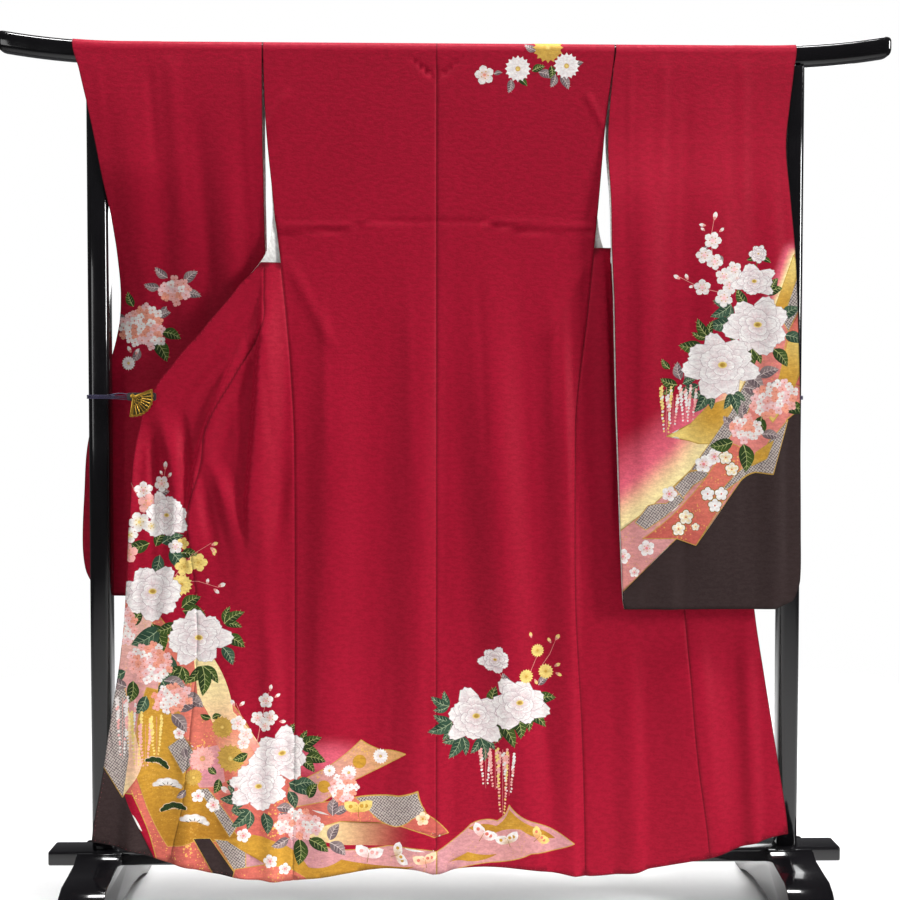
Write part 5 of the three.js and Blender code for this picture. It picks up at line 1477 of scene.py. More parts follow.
# ---- what repeats: stitches, cord strands and the fan's ribs, as Geometry Nodes ------------------
def geometry_tree(name, inputs, build):
    """A tree that takes a curve or mesh and ends in Realize Instances and Set Material."""
    tree = bpy.data.node_groups.new(name, "GeometryNodeTree")
    tree.interface.new_socket("Geometry", in_out="INPUT", socket_type="NodeSocketGeometry")
    tree.interface.new_socket("Material", in_out="INPUT", socket_type="NodeSocketMaterial")
    for title, kind, default in inputs:
        socket = tree.interface.new_socket(title, in_out="INPUT", socket_type="NodeSocket" + kind)
        socket.default_value = default
    tree.interface.new_socket("Geometry", in_out="OUTPUT", socket_type="NodeSocketGeometry")
    nodes = Nodes(tree)
    given = nodes.add("NodeGroupInput", None).outputs
    result = tree.nodes.new("NodeGroupOutput")
    real = nodes.add("GeometryNodeRealizeInstances", inputs={"Geometry": build(nodes, given)})
    finished = nodes.add("GeometryNodeSetMaterial", inputs={"Geometry": real, "Material": given["Material"]})
    tree.links.new(finished, result.inputs["Geometry"])
    return tree


def grown(name, source, tree, values):
    """What the tree makes of the source, as a plain mesh object at the origin."""
    modifier = source.modifiers.new("made", "NODES")
    modifier.node_group = tree
    for item in tree.interface.items_tree:
        if item.in_out == "INPUT" and item.name in values:
            modifier[item.identifier] = values[item.name]
    made = bpy.data.meshes.new_from_object(source.evaluated_get(bpy.context.evaluated_depsgraph_get()))
    source.modifiers.clear()
    bpy.data.objects.remove(source)
    shade_smooth(made)
    return linked(name, made)


def curve_through(lines):
    """A curve object of open lines, each given by its points in millimetres."""
    curve = bpy.data.curves.new("path", "CURVE")
    curve.dimensions = "3D"
    for points in lines:
        spline = curve.splines.new("POLY")
        spline.points.add(len(points) - 1)
        spline.points.foreach_set(
            "co", np.column_stack([np.asarray(points) * MM, np.ones(len(points))]).ravel())
    return linked("path", curve)


def stitch_nodes(nodes, given):
    along = nodes.add(
        "GeometryNodeCurveToPoints", None, {"Curve": given["Geometry"], "Length": given["Spacing"]},
        mode="LENGTH")
    half = nodes.math("MULTIPLY", given["Length"], 0.5)
    start = nodes.add("ShaderNodeCombineXYZ", inputs={"X": nodes.math("MULTIPLY", half, -1.0)})
    end = nodes.add("ShaderNodeCombineXYZ", inputs={"X": half})
    middle = nodes.add("GeometryNodeCurvePrimitiveLine", inputs={"Start": start, "End": end})
    ring = nodes.add(
        "GeometryNodeCurvePrimitiveCircle", inputs={"Resolution": 5, "Radius": given["Thickness"]},
        mode="RADIUS")
    thread = nodes.add("GeometryNodeCurveToMesh", inputs={
        "Curve": middle, "Profile Curve": ring, "Fill Caps": True})
    turn = nodes.add(
        "FunctionNodeAlignRotationToVector", inputs={"Vector": along.outputs["Tangent"]}, axis="X")
    return nodes.add("GeometryNodeInstanceOnPoints", inputs={
        "Points": along.outputs["Points"], "Instance": thread, "Rotation": turn})


STITCHES = geometry_tree(
    "running stitches",
    [("Spacing", "Float", 0.009), ("Length", "Float", 0.0012), ("Thickness", "Float", 0.0002)], stitch_nodes)


def cord_nodes(nodes, given):
    """Each line becomes a strand of three plies, twisted by turning the profile along the way."""
    fine = nodes.add(
        "GeometryNodeResampleCurve", inputs={"Curve": given["Geometry"], "Length": given["Step"]},
        mode="LENGTH")
    run = nodes.add("GeometryNodeSplineParameter", "Length")
    tilt = nodes.math("MULTIPLY", nodes.math("DIVIDE", run, given["Twist"]), TAU)
    twisting = nodes.add("GeometryNodeSetCurveTilt", inputs={"Curve": fine, "Tilt": tilt})
    ply = nodes.add("GeometryNodeCurvePrimitiveCircle", inputs={
        "Resolution": 6, "Radius": nodes.math("MULTIPLY", given["Radius"], 0.54)}, mode="RADIUS")
    together = nodes.add("GeometryNodeJoinGeometry", None)
    for k in range(3):
        off = nodes.math("MULTIPLY", given["Radius"], 0.46)
        across, up = math.cos(TAU * k / 3), math.sin(TAU * k / 3)
        place = nodes.add("ShaderNodeCombineXYZ", inputs={
            "X": nodes.math("MULTIPLY", off, across), "Y": nodes.math("MULTIPLY", off, up)})
        moved = nodes.add("GeometryNodeTransform", inputs={"Geometry": ply, "Translation": place})
        nodes.tree.links.new(moved, together.inputs[0])
    return nodes.add("GeometryNodeCurveToMesh", inputs={
        "Curve": twisting, "Profile Curve": together.outputs[0], "Fill Caps": True})


TWISTED_CORD = geometry_tree(
    "twisted cord", [("Radius", "Float", 0.0009), ("Twist", "Float", 0.007), ("Step", "Float", 0.0012)],
    cord_nodes)


def rib_nodes(nodes, given):
    row = nodes.add("GeometryNodeMeshLine", inputs={"Count": given["Count"], "Offset": (0, 0, 0)})
    share = nodes.math("DIVIDE", nodes.math("ADD", nodes.add("GeometryNodeInputIndex"), 0.5), given["Count"])
    sweep = nodes.math("SUBTRACT", given["Last angle"], given["First angle"])
    angle = nodes.math("ADD", given["First angle"], nodes.math("MULTIPLY", share, sweep))
    turn = nodes.add("ShaderNodeCombineXYZ", inputs={"Y": nodes.math("MULTIPLY", angle, -1.0)})
    root = nodes.add("ShaderNodeCombineXYZ", inputs={"X": given["Root"]})
    tip = nodes.add("ShaderNodeCombineXYZ", inputs={"X": given["Reach"]})
    spine = nodes.add("GeometryNodeCurvePrimitiveLine", inputs={"Start": root, "End": tip})
    ring = nodes.add(
        "GeometryNodeCurvePrimitiveCircle", inputs={"Resolution": 8, "Radius": given["Thickness"]},
        mode="RADIUS")
    rib = nodes.add("GeometryNodeCurveToMesh", inputs={
        "Curve": spine, "Profile Curve": ring, "Fill Caps": True})
    ribs = nodes.add("GeometryNodeInstanceOnPoints", inputs={
        "Points": row, "Instance": rib, "Rotation": turn})
    return nodes.add("GeometryNodeTransform", inputs={"Geometry": ribs, "Translation": given["Place"]})


FAN_RIBS = geometry_tree(
    "fan ribs", [("Count", "Int", 9), ("Root", "Float", 0.01), ("Reach", "Float", 0.03),
                 ("Thickness", "Float", 0.001), ("First angle", "Float", 0.0), ("Last angle", "Float", 1.0),
                 ("Place", "Vector", (0, 0, 0))], rib_nodes)


def make_stitches():
    """Prick stitches along the hem, the fronts' edges and the sleeves' open edges, with a tack at each end of
    the slits under the arms."""
    to_face = np.array([0, CLOTH / 2 + 0.15, 0])  # from the middle of the cloth to just off its face

    def on_layer(x, z):
        return layer_place(x, z) - to_face

    across = np.linspace(-664, 646, 330)
    hem = on_layer(across, hem_z(across) + 4)
    up = np.linspace(1190, 160, 250)
    left_front = on_layer(at(OKUMI_EDGE_LEFT, "z", up, "x") + 4, up)
    right_front = on_layer(at(OKUMI_EDGE_RIGHT, "z", up, "x") - 4, up)
    down = np.linspace(1300, 620, 170)
    right_back = sleeve_place(SLEEVE_RIGHT_BACK, SLEEVE_RIGHT_FOLDS, -1, PINCH, SEWN_RIGHT)
    left_back = sleeve_place(SLEEVE_LEFT_BACK, SLEEVE_LEFT_FOLDS, -1, PINCH, SEWN_LEFT)
    right_sleeve = right_back(at(SLEEVE_RIGHT_BACK, "z", down, "lx") + 3, down) - to_face
    left_sleeve = left_back(at(SLEEVE_LEFT_BACK, "z", down, "rx") - 3, down) - to_face
    lines = [hem, left_front, right_front, right_sleeve, left_sleeve]
    for name, x, z in (
            ("left", -341, 1492), ("left", -325, 1322), ("right", 299, 1498), ("right", 284, 1324)):
        inward = 2 if name == "left" else -2
        tack = np.linspace(0, 9, 12)
        lines.append(on_layer(np.full_like(tack, x + inward), z - tack))
    threads = grown("edge_stitches", curve_through(lines), STITCHES, {
        "Material": THREAD, "Spacing": 0.009, "Length": 0.0012, "Thickness": 0.00022})
    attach(threads, "root")


# ---- clips, cords and the fan --------------------------------------------------------------------
CLIP_HEIGHT, CLIP_REACH, CLIP_TAIL, CLIP_WALL, CLIP_ROUND = 15, 30, 24, 3.2, 4
CLIPS = table("side tip_x z near far", (-1, -545, 987, -44, -33.5), (1, 518, 987, -36.5, -25.5))
CORD_GAP, STRANDS = 2.0, 4
FAN_RADIUS, FAN_FROM, FAN_TO, FAN_RIBS_COUNT, FAN_THICK = 37, 22, -100, 10, 2.2
FAN_X, FAN_Z = -586, 986  # the middle that its ribs run out from


BEVEL_ANGLE, SHARP_ANGLE = 28, 35  # degrees past which an edge is rounded over, or stays sharp


def pushed_out(shape, ring, way):
    """Adds a block: a face with this ring of points, in metres, pushed out along the way."""
    front = shape.faces.new([shape.verts.new(point) for point in ring])
    made = bmesh.ops.extrude_face_region(shape, geom=[front])["geom"]
    moved = [v for v in made if isinstance(v, bmesh.types.BMVert)]
    bmesh.ops.translate(shape, verts=moved, vec=way)


def add_block(shape, outline, y0, y1):
    """Adds a flat plate with this outline, in x and z, from y0 to y1."""
    pushed_out(shape, [(x * MM, y0 * MM, z * MM) for x, z in outline], (0, (y1 - y0) * MM, 0))


def bevelled(name, shape, material, width, node):
    """Finishes a built shape as a piece: its edges rounded over, in the node's place."""
    bmesh.ops.recalc_face_normals(shape, faces=shape.faces)
    mesh = bpy.data.meshes.new(name)
    shape.to_mesh(mesh)
    shape.free()
    mesh.materials.append(material)
    piece = linked(name, mesh)
    bevel = piece.modifiers.new("edges", "BEVEL")
    bevel.width, bevel.segments = width * MM, 3
    bevel.limit_method, bevel.angle_limit = "ANGLE", math.radians(BEVEL_ANGLE)
    apply_modifiers(piece)
    shade_smooth(piece.data)
    piece.data.set_sharp_from_angle(angle=math.radians(SHARP_ANGLE))
    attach(piece, "root")
    if node:
        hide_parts(node)
    return piece


def make_clip(name, side, tip_x, z, near, far):
    edge = tip_x + side * CLIP_REACH
    end = edge + side * CLIP_TAIL

    def plate(x0, x1, y0, y1, height):
        outline = round_box(abs(x1 - x0), height, CLIP_ROUND, 4) + [(x0 + x1) / 2, z]
        add_block(shape, outline, y0, y1)

    shape = bmesh.new()
    plate(tip_x, end, near - CLIP_WALL, near, CLIP_HEIGHT)
    plate(tip_x, end, far, far + CLIP_WALL, CLIP_HEIGHT)
    plate(edge + side * 2, end, near - 0.2, far + 0.2, CLIP_HEIGHT - 3)
    for k in range(4):
        plate(
            end - side * (8 + 4 * k), end - side * (6 + 4 * k), near - CLIP_WALL - 0.5,
            near - CLIP_WALL + 0.5, CLIP_HEIGHT - 4)
    piece = bevelled("body_clip_" + name, shape, SATIN_BLACK, 0.6, "clip_" + name)


def make_cord(name, side, tip_x, z, near, far):
    """Four thin strands from the clip's end, round the post and back."""
    end = tip_x + side * (CLIP_REACH + CLIP_TAIL + 2 * CLEAR)
    inner, outer = POST_X - POST_WIDTH / 2, POST_X + POST_WIDTH / 2
    half = POST_WIDTH / 2 + CORD_GAP
    a, b = near + 1, far + 1
    route = np.array([
        (end, a), (end + side * 4, a), (side * (inner - 8), mix(a, -half, 0.75)),
        (side * (inner + 8), -half - 0.6), (side * POST_X, -half), (side * (outer - 8), -half),
        (side * (outer + CORD_GAP - 1), -half + 5), (side * (outer + CORD_GAP), 0),
        (side * (outer + CORD_GAP - 1), half - 5), (side * (outer - 8), half), (side * POST_X, half),
        (side * (inner + 8), half), (side * (inner - CORD_GAP + 1), half - 5), (side * (inner - CORD_GAP), 0),
        (side * (inner - CORD_GAP - 1), -8), (mix(side * (inner - CORD_GAP), end, 0.5), mix(-8, b, 0.6)),
        (end + side * 4, b), (end, b)])
    rows = {"x": route[:, 0], "y": route[:, 1]}
    place = np.linspace(0, len(route) - 1, 140)
    x, y = read(rows, place, "x"), read(rows, place, "y")
    at_post = smooth(abs(end) + 4, inner, np.abs(x))
    lines = []
    for k in range(STRANDS):
        level_z = (k - (STRANDS - 1) / 2)
        bow = 2.2 * (k == STRANDS - 1) * np.sin(math.pi * clamp((np.abs(x) - abs(end)) / (inner - abs(end))))
        lines.append(np.stack([x, y, z + level_z * mix(3.1, 1.9, at_post) + bow], -1))
    piece = grown("silk_cord_" + name, curve_through(lines), TWISTED_CORD, {
        "Material": CORD_SILK, "Radius": 0.00098, "Twist": 0.0065, "Step": 0.0011})
    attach(piece, "root")
    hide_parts("cord_" + name)


def fan_outline(inner, outer, start, stop, lobes):
    """A sector with a scalloped outer edge, as x and z about the pivot."""
    t = np.radians(np.linspace(start, stop, lobes * 6 + 1))
    wave = 1 - 0.035 * np.abs(np.cos(np.linspace(0, lobes * math.pi, lobes * 6 + 1)))
    rim = np.stack([outer * wave * np.cos(t), outer * wave * np.sin(t)], -1)
    s = np.radians(np.linspace(stop, start, 13))
    return np.concatenate([rim, np.stack([inner * np.cos(s), inner * np.sin(s)], -1)])


def make_fan():
    """A folding fan of gilt metal on the front jaw: a dark plate behind its ribs, coloured as gilt in painted
    shade, fills the hollows between them; a gilt rim, a webbed heart near the pivot and a round pivot of its
    own."""
    near = CLIPS["near"][0]
    back = near - CLIP_WALL - CLEAR
    place = np.array([FAN_X, FAN_Z])
    shape = bmesh.new()
    # The dark plate behind the ribs is painted shade in the hollows between them.
    add_block(
        shape, fan_outline(2, FAN_RADIUS - 1.5, FAN_FROM - 2, FAN_TO + 2, FAN_RIBS_COUNT) + place,
        back - FAN_THICK + 1, back)
    floor_plate = bevelled("fan_hollows", shape, SHADED_GILT, 0.2, None)
    shape = bmesh.new()
    face = back - FAN_THICK
    add_block(
        shape, fan_outline(FAN_RADIUS - 4.2, FAN_RADIUS, FAN_FROM, FAN_TO, FAN_RIBS_COUNT) + place,
        face - 0.6, back - 0.4)
    add_block(shape, fan_outline(14.5, 17, FAN_FROM, FAN_TO, FAN_RIBS_COUNT) + place, face - 0.7, back - 0.5)
    add_block(shape, fan_outline(2, 5, FAN_FROM, FAN_TO, 3) + place, face - 0.3, back - 0.5)
    for angle in (FAN_FROM, FAN_TO):
        t = math.radians(angle)
        guard = stroke(
            [[math.cos(t), math.sin(t)], [FAN_RADIUS * math.cos(t), FAN_RADIUS * math.sin(t)]], [4.5, 3.2])
        add_block(shape, guard + place, face - 0.9, back - 0.3)
    for ring_k in range(3):
        for k in range(4):
            t = math.radians(mix(FAN_FROM, FAN_TO, (k + 0.5 + 0.25 * (ring_k % 2)) / 4.5))
            reach = 7.2 + 3.0 * ring_k
            add_block(
                shape, disc((reach * math.cos(t), reach * math.sin(t)), 1.25, 10) + place, face - 0.5,
                back - 0.5)
    add_block(shape, disc((-2, 2), 4.2, 20) + place, face - 1.3, back - 0.2)
    add_block(shape, disc((-2, 2), 2.0, 14) + place, face - 1.9, face - 1.0)
    rim = bevelled("gilt_fan", shape, GILT, 0.35, "fan_left")
    ribs = grown("fan_ribs", linked("blank", bpy.data.meshes.new("blank")), FAN_RIBS, {
        "Material": GILT, "Count": FAN_RIBS_COUNT, "Root": 16 * MM, "Reach": (FAN_RADIUS - 2) * MM,
        "Thickness": 0.95 * MM, "First angle": math.radians(FAN_FROM), "Last angle": math.radians(FAN_TO),
        "Place": (FAN_X * MM, (face + 0.3) * MM, FAN_Z * MM)})
    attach(ribs, "root")


def make_fastenings():
    for i, name in enumerate(("left", "right")):
        row = [CLIPS[column][i] for column in ("side", "tip_x", "z", "near", "far")]
        make_clip(name, *row)
        make_cord(name, *row)
    make_fan()


# ---- the collar ----------------------------------------------------------------------------------
def collar_rows(front, edge, turn):
    """The collar's rows, square to the edge of its front. turn is the side that it lies on."""
    x, y, z = (front[edge + k][1:] for k in "xyz")
    run_x = np.gradient(x)
    run_z = np.gradient(z)
    length = np.hypot(run_x, run_z)
    square_x, square_z = -turn * run_z / length, turn * run_x / length
    square_x[0], square_z[0] = turn, 0
    near = x + square_x * COLLAR_SEAM, y, z + square_z * COLLAR_SEAM
    far = x + square_x * COLLAR_WIDTH, y + 1.5, z + square_z * COLLAR_WIDTH
    left, right = (near, far) if turn > 0 else (far, near)
    return dict(zip(SPAN.split(), (*left, *right)))


def make_collars(ground):
    for name, front, edge, turn in (
            ("collar_left", FRONT_LEFT_UPPER, "r", 1), ("collar_right", FRONT_RIGHT_UPPER, "l", -1)):
        rows = collar_rows(front, edge, turn)
        spanned_panel(name, rows, COLLAR_CUT, None, ground, faces_out=-1, thickness=COLLAR_WALL, over=0)
    drop = EDGE - NECK_DROP
    rows = table(
        SPAN, (NECK_LEFT + 1, HANG, EDGE, NECK_RIGHT - 1, HANG, EDGE),
        (NECK_LEFT + 14, HANG + 3, drop, NECK_RIGHT - 14, HANG + 3, drop))
    spanned_panel("collar_back", rows, COLLAR_BACK_CUT, None, ground, faces_out=-1)


# ---- the garment ---------------------------------------------------------------------------------
# Cuts are width and length in millimetres, and area in square metres.
def line_x(rows):
    return lambda z: at(rows, "z", z, "x")


def hem_z(x):
    return at(HEM, "x", x, "z")


def level(height):
    """A line at one height, or one distance across, all along."""
    return lambda place: np.full_like(np.asarray(place, float), height)


LAYER_PANELS = (  # name, left and right cut lines, height of its top, and its cut
    ("back_left", SIDE_LEFT, CENTRE, SHOULDER, (330, 1610, 0.49)),
    ("back_right", CENTRE, SIDE_RIGHT, SHOULDER, (340, 1610, 0.47)),
    ("front_left_lower", OKUMI_SEAM_LEFT, SIDE_LEFT, 1240, (232, 1180, 0.175)),
    ("okumi_left", OKUMI_EDGE_LEFT, OKUMI_SEAM_LEFT, 1240, (155, 1170, 0.14)),
    ("front_right_lower", SIDE_RIGHT, OKUMI_SEAM_RIGHT, 1270, (236, 1180, 0.19)),
    ("okumi_right", OKUMI_SEAM_RIGHT, OKUMI_EDGE_RIGHT, 1240, (156, 1170, 0.135)))
LEFT_SLEEVE_CUT, RIGHT_SLEEVE_CUT, UPPER_FRONT_CUT = (360, 1070, 0.345), (346, 1085, 0.36), (255, 800, 0.105)
COLLAR_CUT, COLLAR_BACK_CUT = (COLLAR_WIDTH, 760, None), (148, 75, None)


def silk_ground(glow):
    """The dyed ground: crimson, with soft bands of rose and cream. glow gives a share of each by place."""
    def ground(places, flat):
        x, z = places[:, 0], places[:, 2]
        cloudy = 0.5 + 0.5 * np.sin(x / 61 + 1.3 * np.sin(z / 83)) * np.sin(z / 97 + 0.8 * np.sin(x / 71))
        colour = mix(CRIMSON, CRIMSON_DEEP, (0.10 + 0.12 * cloudy)[:, None])
        for shade, share in glow(flat[:, 0], flat[:, 1]) if glow else ():
            colour = mix(colour, shade, share[:, None])
        return colour
    return ground


def layer_panel(name, left, right, top, cut, design, ground):
    left_line, right_line = line_x(left), line_x(right)
    top_line = level(top)
    outline, near = panel_outline(left_line, right_line, top_line, hem_z)
    own = inside_points(left_line, right_line, top_line, hem_z, 60, top)
    hang(name + "_silk", outline, np.concatenate([own, near]), design, ground, layer_place, 1, cut)


def sleeve_panel(name, rows, folds, side, pinch, sewn_from, cut, design, ground):
    wall_place = sleeve_place(rows, folds, side, pinch, sewn_from)
    bottom = rows["z"][-1]
    left_line = lambda z: at(rows, "z", z, "lx")
    right_line = lambda z: at(rows, "z", z, "rx")
    outline, near = panel_outline(left_line, right_line, level(SHOULDER), level(bottom))
    own = inside_points(left_line, right_line, level(SHOULDER), level(bottom), bottom, SHOULDER)
    hang(name + "_silk", outline, np.concatenate([own, near]), design, ground, wall_place, -side, cut)


def spanned_panel(name, rows, cut, design, ground, faces_out=1, thickness=CLOTH, over=OVER):
    """A piece that turns as it goes, drawn flat as u times its mean width."""
    length = row_length(rows, over)
    wide = np.mean([
        math.dist([rows["l" + k][i] for k in "xyz"], [rows["r" + k][i] for k in "xyz"])
        for i in range(len(rows["lx"]))])
    left_line, right_line = level(0.0), level(wide)
    outline, near = panel_outline(left_line, right_line, level(length), level(0.0))
    own = inside_points(left_line, right_line, level(length), level(0.0), 0, length)
    turn = span_place(rows, length, over)
    hung = lambda across, up: turn(across / wide, length - up)
    points = np.concatenate([own, near])
    hang(name + "_silk", outline, points, design, ground, hung, faces_out, cut, thickness)


def make_garment():
    body_ground, plain_ground, ribbon_ground = silk_ground(body_glow), silk_ground(None), silk_ground(
        sleeve_glow)
    for name, left, right, top, cut in LAYER_PANELS:
        layer_panel(name, left, right, top, cut, BODY_DESIGN, body_ground)
    for name, rows, folds, side, pinch, sewn_from, cut, design, ground in (
            ("left_back", SLEEVE_LEFT_BACK, SLEEVE_LEFT_FOLDS, -1, PINCH, SEWN_LEFT, LEFT_SLEEVE_CUT,
             LEFT_SLEEVE_DESIGN, plain_ground),
            ("left_front", SLEEVE_LEFT_FRONT, None, 1, -PINCH, SEWN_LEFT, LEFT_SLEEVE_CUT, None,
             plain_ground), ("right_back", SLEEVE_RIGHT_BACK, SLEEVE_RIGHT_FOLDS, -1, PINCH, SEWN_RIGHT,
                             RIGHT_SLEEVE_CUT, RIGHT_SLEEVE_DESIGN, ribbon_ground),
            ("right_front", SLEEVE_RIGHT_FRONT, None, 1, -PINCH, SEWN_RIGHT, RIGHT_SLEEVE_CUT, None,
             plain_ground)):
        sleeve_panel("sleeve_" + name, rows, folds, side, pinch, sewn_from, cut, design, ground)
    for name, rows in (("front_left_upper", FRONT_LEFT_UPPER), ("front_right_upper", FRONT_RIGHT_UPPER)):
        spanned_panel(name, rows, UPPER_FRONT_CUT, None, plain_ground, faces_out=-1)
    make_collars(plain_ground)


# ---- the stand -----------------------------------------------------------------------------------
def loft(name, sections, material):
    """A skin over rings of points, each ring with as many points as the next."""
    rings, size = len(sections), len(sections[0])
    faces = [
        (i * size + j, i * size + (j + 1) % size, (i + 1) * size + (j + 1) % size, (i + 1) * size + j)
        for i in range(rings - 1) for j in range(size)]
    faces += [tuple(range(size))[::-1], tuple(range((rings - 1) * size, rings * size))]
    piece = new_mesh(name, np.concatenate(sections), faces, [material])
    outward(piece.data)
    return piece


def outward(mesh):
    shape = bmesh.new()
    shape.from_mesh(mesh)
    bmesh.ops.remove_doubles(shape, verts=shape.verts, dist=1e-6)
    bmesh.ops.recalc_face_normals(shape, faces=shape.faces)
    shape.to_mesh(mesh)
    shape.free()


def round_box(wide, high, corner, steps=6):
    """A rectangle with round corners about the origin, as a ring of points."""
    points = []
    for k, (sx, sy) in enumerate(((1, 1), (-1, 1), (-1, -1), (1, -1))):
        for t in np.linspace(k, k + 1, steps + 1) * math.pi / 2:
            points.append((
                sx * (wide / 2 - corner) + corner * math.cos(t),
                sy * (high / 2 - corner) + corner * math.sin(t)))
    return np.array(points)


def finish_stand(piece, node):
    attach(piece, "root")
    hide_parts(node)


def make_rail():
    """The rail rises a little at both ends, which are rounded over."""
    section = round_box(RAIL_DEPTH, RAIL_HEIGHT, RAIL_ROUND)
    half = np.concatenate([
        np.linspace(0, LIFT_FROM, 7)[:-1], np.linspace(LIFT_FROM, RAIL_HALF - RAIL_TIP, 14)[:-1]])
    tip = RAIL_HALF - RAIL_TIP + RAIL_TIP * np.sin(np.linspace(0, math.pi / 2, 7))
    stations = np.concatenate([half, tip])
    stations = np.concatenate([-stations[::-1], stations[1:]])
    rings = []
    for x in stations:
        past = max(0.0, abs(x) - (RAIL_HALF - RAIL_TIP)) / RAIL_TIP
        scale = 1 - TIP_SHRINK * (1 - math.sqrt(max(0.0, 1 - past**2)))
        y, z = section[:, 0] * scale, section[:, 1] * scale + rail_top(x) - RAIL_HEIGHT / 2
        rings.append(np.stack([np.full_like(y, x), y, z], -1))
    finish_stand(loft("lacquer_rail", rings, LACQUER), "rail")


def upright(name, node, x, bottom, top):
    section = round_box(POST_WIDTH, POST_WIDTH, POST_ROUND)
    ease = 2.0
    stops = (
        (bottom, 1 - ease / POST_WIDTH), (bottom + ease, 1), (top - ease, 1), (top, 1 - ease / POST_WIDTH))
    rings = [
        np.stack([x + section[:, 0] * s, section[:, 1] * s, np.full(len(section), z)], -1) for z, s in stops]
    finish_stand(loft(name, rings, LACQUER), node)


def make_bar():
    high = BAR_TOP - BAR_BOTTOM
    section = round_box(BAR_DEPTH, high, 4, 3)
    ease = 4.0
    stops = (
        (-BAR_HALF, 1 - 2 * ease / BAR_DEPTH), (-BAR_HALF + ease * 0.3, 1 - ease * 0.6 / BAR_DEPTH),
        (-BAR_HALF + ease, 1))
    stops += tuple((-x, s) for x, s in stops[::-1])
    middle = (BAR_TOP + BAR_BOTTOM) / 2
    rings = [
        np.stack([np.full(len(section), x), section[:, 0] * s, middle + section[:, 1] * s], -1) for x,
        s in stops]
    finish_stand(loft("lacquer_crossbar", rings, LACQUER), "crossbar")


def foot_outline():
    """A foot's side, as y and z: shoulders beside the crossbar's slot, a long back, toes and an arch."""
    back = [
        (FOOT_SHOULDER, FOOT_TOP - 5), (FOOT_SHOULDER + 2, FOOT_TOP - 1), (FOOT_SHOULDER + 6, FOOT_TOP - 5),
        (FOOT_SHOULDER + 18, FOOT_TOP - 12), (105, FOOT_TOP - 19), (143, FOOT_TOP - 24), (163, FOOT_TOP - 36),
        (181, FOOT_TOP - 56), (199, FOOT_TOP - 80), (213, FOOT_TOP - 103), (FOOT_HALF - 1, 6), (FOOT_HALF, 0)]
    slot = [
        (BAR_DEPTH / 2 + CLEAR, BAR_BOTTOM - CLEAR), (BAR_DEPTH / 2 + CLEAR, FOOT_TOP),
        (FOOT_SHOULDER - 4, FOOT_TOP)]
    under = [(FOOT_HALF - FOOT_PAD, 0), (150, FOOT_ARCH * 0.45), (112, FOOT_ARCH * 0.78), (60, FOOT_ARCH)]
    half = slot + back + under
    return np.array(half + [(-y, z) for y, z in half[::-1]])


def make_foot(name, node, x):
    shape = bmesh.new()
    ring = [(x * MM - FOOT_WIDTH * MM / 2, y * MM, z * MM) for y, z in foot_outline()]
    pushed_out(shape, ring, (FOOT_WIDTH * MM, 0, 0))
    bevelled(name, shape, LACQUER, FOOT_ROUND, node)


def apply_modifiers(piece):
    """Makes what the modifiers give the piece's own plain mesh."""
    evaluated = piece.evaluated_get(bpy.context.evaluated_depsgraph_get())
    made = bpy.data.meshes.new_from_object(evaluated)
    piece.modifiers.clear()
    piece.data = made


def make_stand():
    make_rail()
    for side, x in (("left", -POST_X), ("right", POST_X)):
        bottom = BAR_TOP + CLEAR
        top = float(rail_top(POST_X - POST_WIDTH / 2)) - RAIL_HEIGHT - CLEAR
        upright("lacquer_post_" + side, "post_" + side, x, bottom, top)
        make_foot("lacquer_foot_" + side, "foot_" + side, x)
    make_bar()


# ---- floor, light and camera ---------------------------------------------------------------------
FLOOR_RADIUS, FADE_FROM, FADE_TO = 4.2, 0.7, 2.6  # metres


def make_floor():
    """A pale floor that fades into the white round it."""
    bpy.ops.mesh.primitive_circle_add(vertices=96, radius=FLOOR_RADIUS, fill_type="NGON")
    floor = bpy.context.object
    floor.name = "floor"
    made = bpy.data.materials.new("pale floor")
    made.use_nodes = True
    nodes = Nodes(made.node_tree)
    tree = made.node_tree
    shader, output = tree.nodes["Principled BSDF"], tree.nodes["Material Output"]
    place = nodes.add("ShaderNodeTexCoord", "Object")
    grain = nodes.noise(place, 60.0, 3)
    nodes.put(shader.inputs["Base Color"], nodes.blend(grain, (0.93, 0.93, 0.93), (0.97, 0.97, 0.965)))
    nodes.put(shader.inputs["Roughness"], 0.8)
    distance = nodes.add("ShaderNodeVectorMath", "Value", {0: place}, operation="LENGTH")
    clear = nodes.add("ShaderNodeBsdfTransparent")
    shown = nodes.add("ShaderNodeMixShader", inputs={
        0: nodes.spread(distance, FADE_FROM, FADE_TO), 1: shader.outputs[0], 2: clear})
    tree.links.new(shown, output.inputs["Surface"])
    floor.data.materials.append(made)


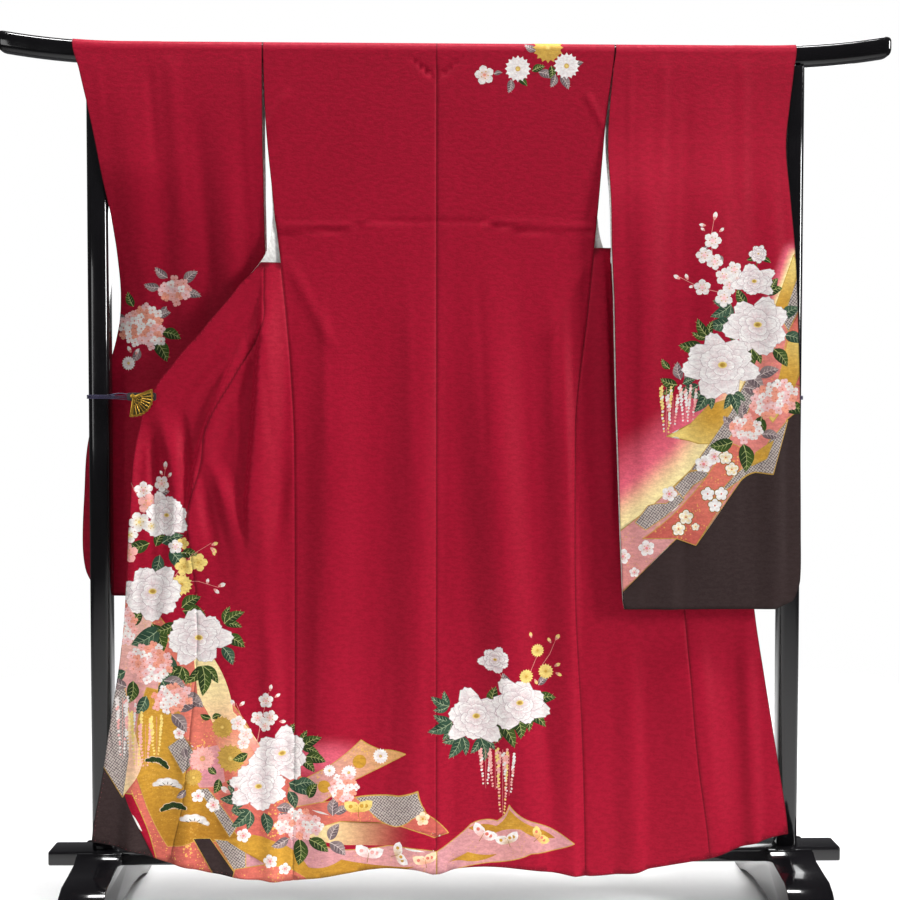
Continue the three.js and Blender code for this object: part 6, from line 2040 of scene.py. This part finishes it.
LIGHTS = (  # name, place, what it is turned to, its width and height, all in metres, and its watts
    ("key", (9.0, -3.9, 4.8), (0, 0, 0.85), (1.5, 3.2), 1010),
    ("fill", (-3.4, -4.8, 1.9), (0, 0, 0.8), (1.4, 2.4), 42),
    ("top", (0.0, -0.45, 5.2), (0, -0.45, 0), (3.2, 0.7), 360),
    ("rear", (0.6, 3.8, 2.8), (0, 0.4, 0.3), (3.0, 2.4), 130))
WORLD_LIGHT = (0.10, 0.10, 0.105)


def area_light(name, place, target, size, power):
    lamp = bpy.data.lights.new(name, "AREA")
    lamp.shape, lamp.size, lamp.size_y, lamp.energy = "RECTANGLE", size[0], size[1], power
    holder = linked(name, lamp)
    holder.location = place
    aim = Vector(target) - Vector(place)
    holder.rotation_euler = aim.to_track_quat("-Z", "Y").to_euler()


def make_light():
    """White surroundings, dim as a light, and four soft boxes: a strong one at the right, a weak one at the
    left, a wide one above and one behind."""
    world = bpy.data.worlds.new("studio")
    bpy.context.scene.world = world
    world.use_nodes = True
    nodes = Nodes(world.node_tree)
    background = world.node_tree.nodes["Background"]
    seen = nodes.add("ShaderNodeLightPath", "Is Camera Ray")
    nodes.put(background.inputs["Color"], nodes.blend(seen, WORLD_LIGHT, (1.0, 1.0, 1.0)))
    for light in LIGHTS:
        area_light(*light)


CAMERA_PLACE = (-42.0, -2395.2, 963.9)
CAMERA_YAW, CAMERA_PITCH, CAMERA_ROLL = 0.0201, 0.0325, 0.001  # in radians
CAMERA_LENS, CAMERA_SENSOR = 49.94, 36.0


def make_camera():
    lens = bpy.data.cameras.new("camera")
    lens.lens, lens.sensor_width, lens.clip_end = CAMERA_LENS, CAMERA_SENSOR, 100
    camera = linked("camera", lens)
    level_way = math.cos(CAMERA_PITCH)
    ahead = Vector((
        math.sin(CAMERA_YAW) * level_way, math.cos(CAMERA_YAW) * level_way, -math.sin(CAMERA_PITCH)))
    right = Vector((math.cos(CAMERA_YAW), -math.sin(CAMERA_YAW), 0))
    up = right.cross(ahead)
    turn = Matrix((right, up, -ahead)).transposed() @ Matrix.Rotation(CAMERA_ROLL, 3, "Z")
    camera.matrix_world = Matrix.Translation(Vector(CAMERA_PLACE) * MM) @ turn.to_4x4()
    bpy.context.scene.camera = camera


make_camera()
make_floor()
make_light()
bpy.context.scene.view_settings.view_transform = "Standard"
make_garment()
make_stand()
make_fastenings()
make_stitches()
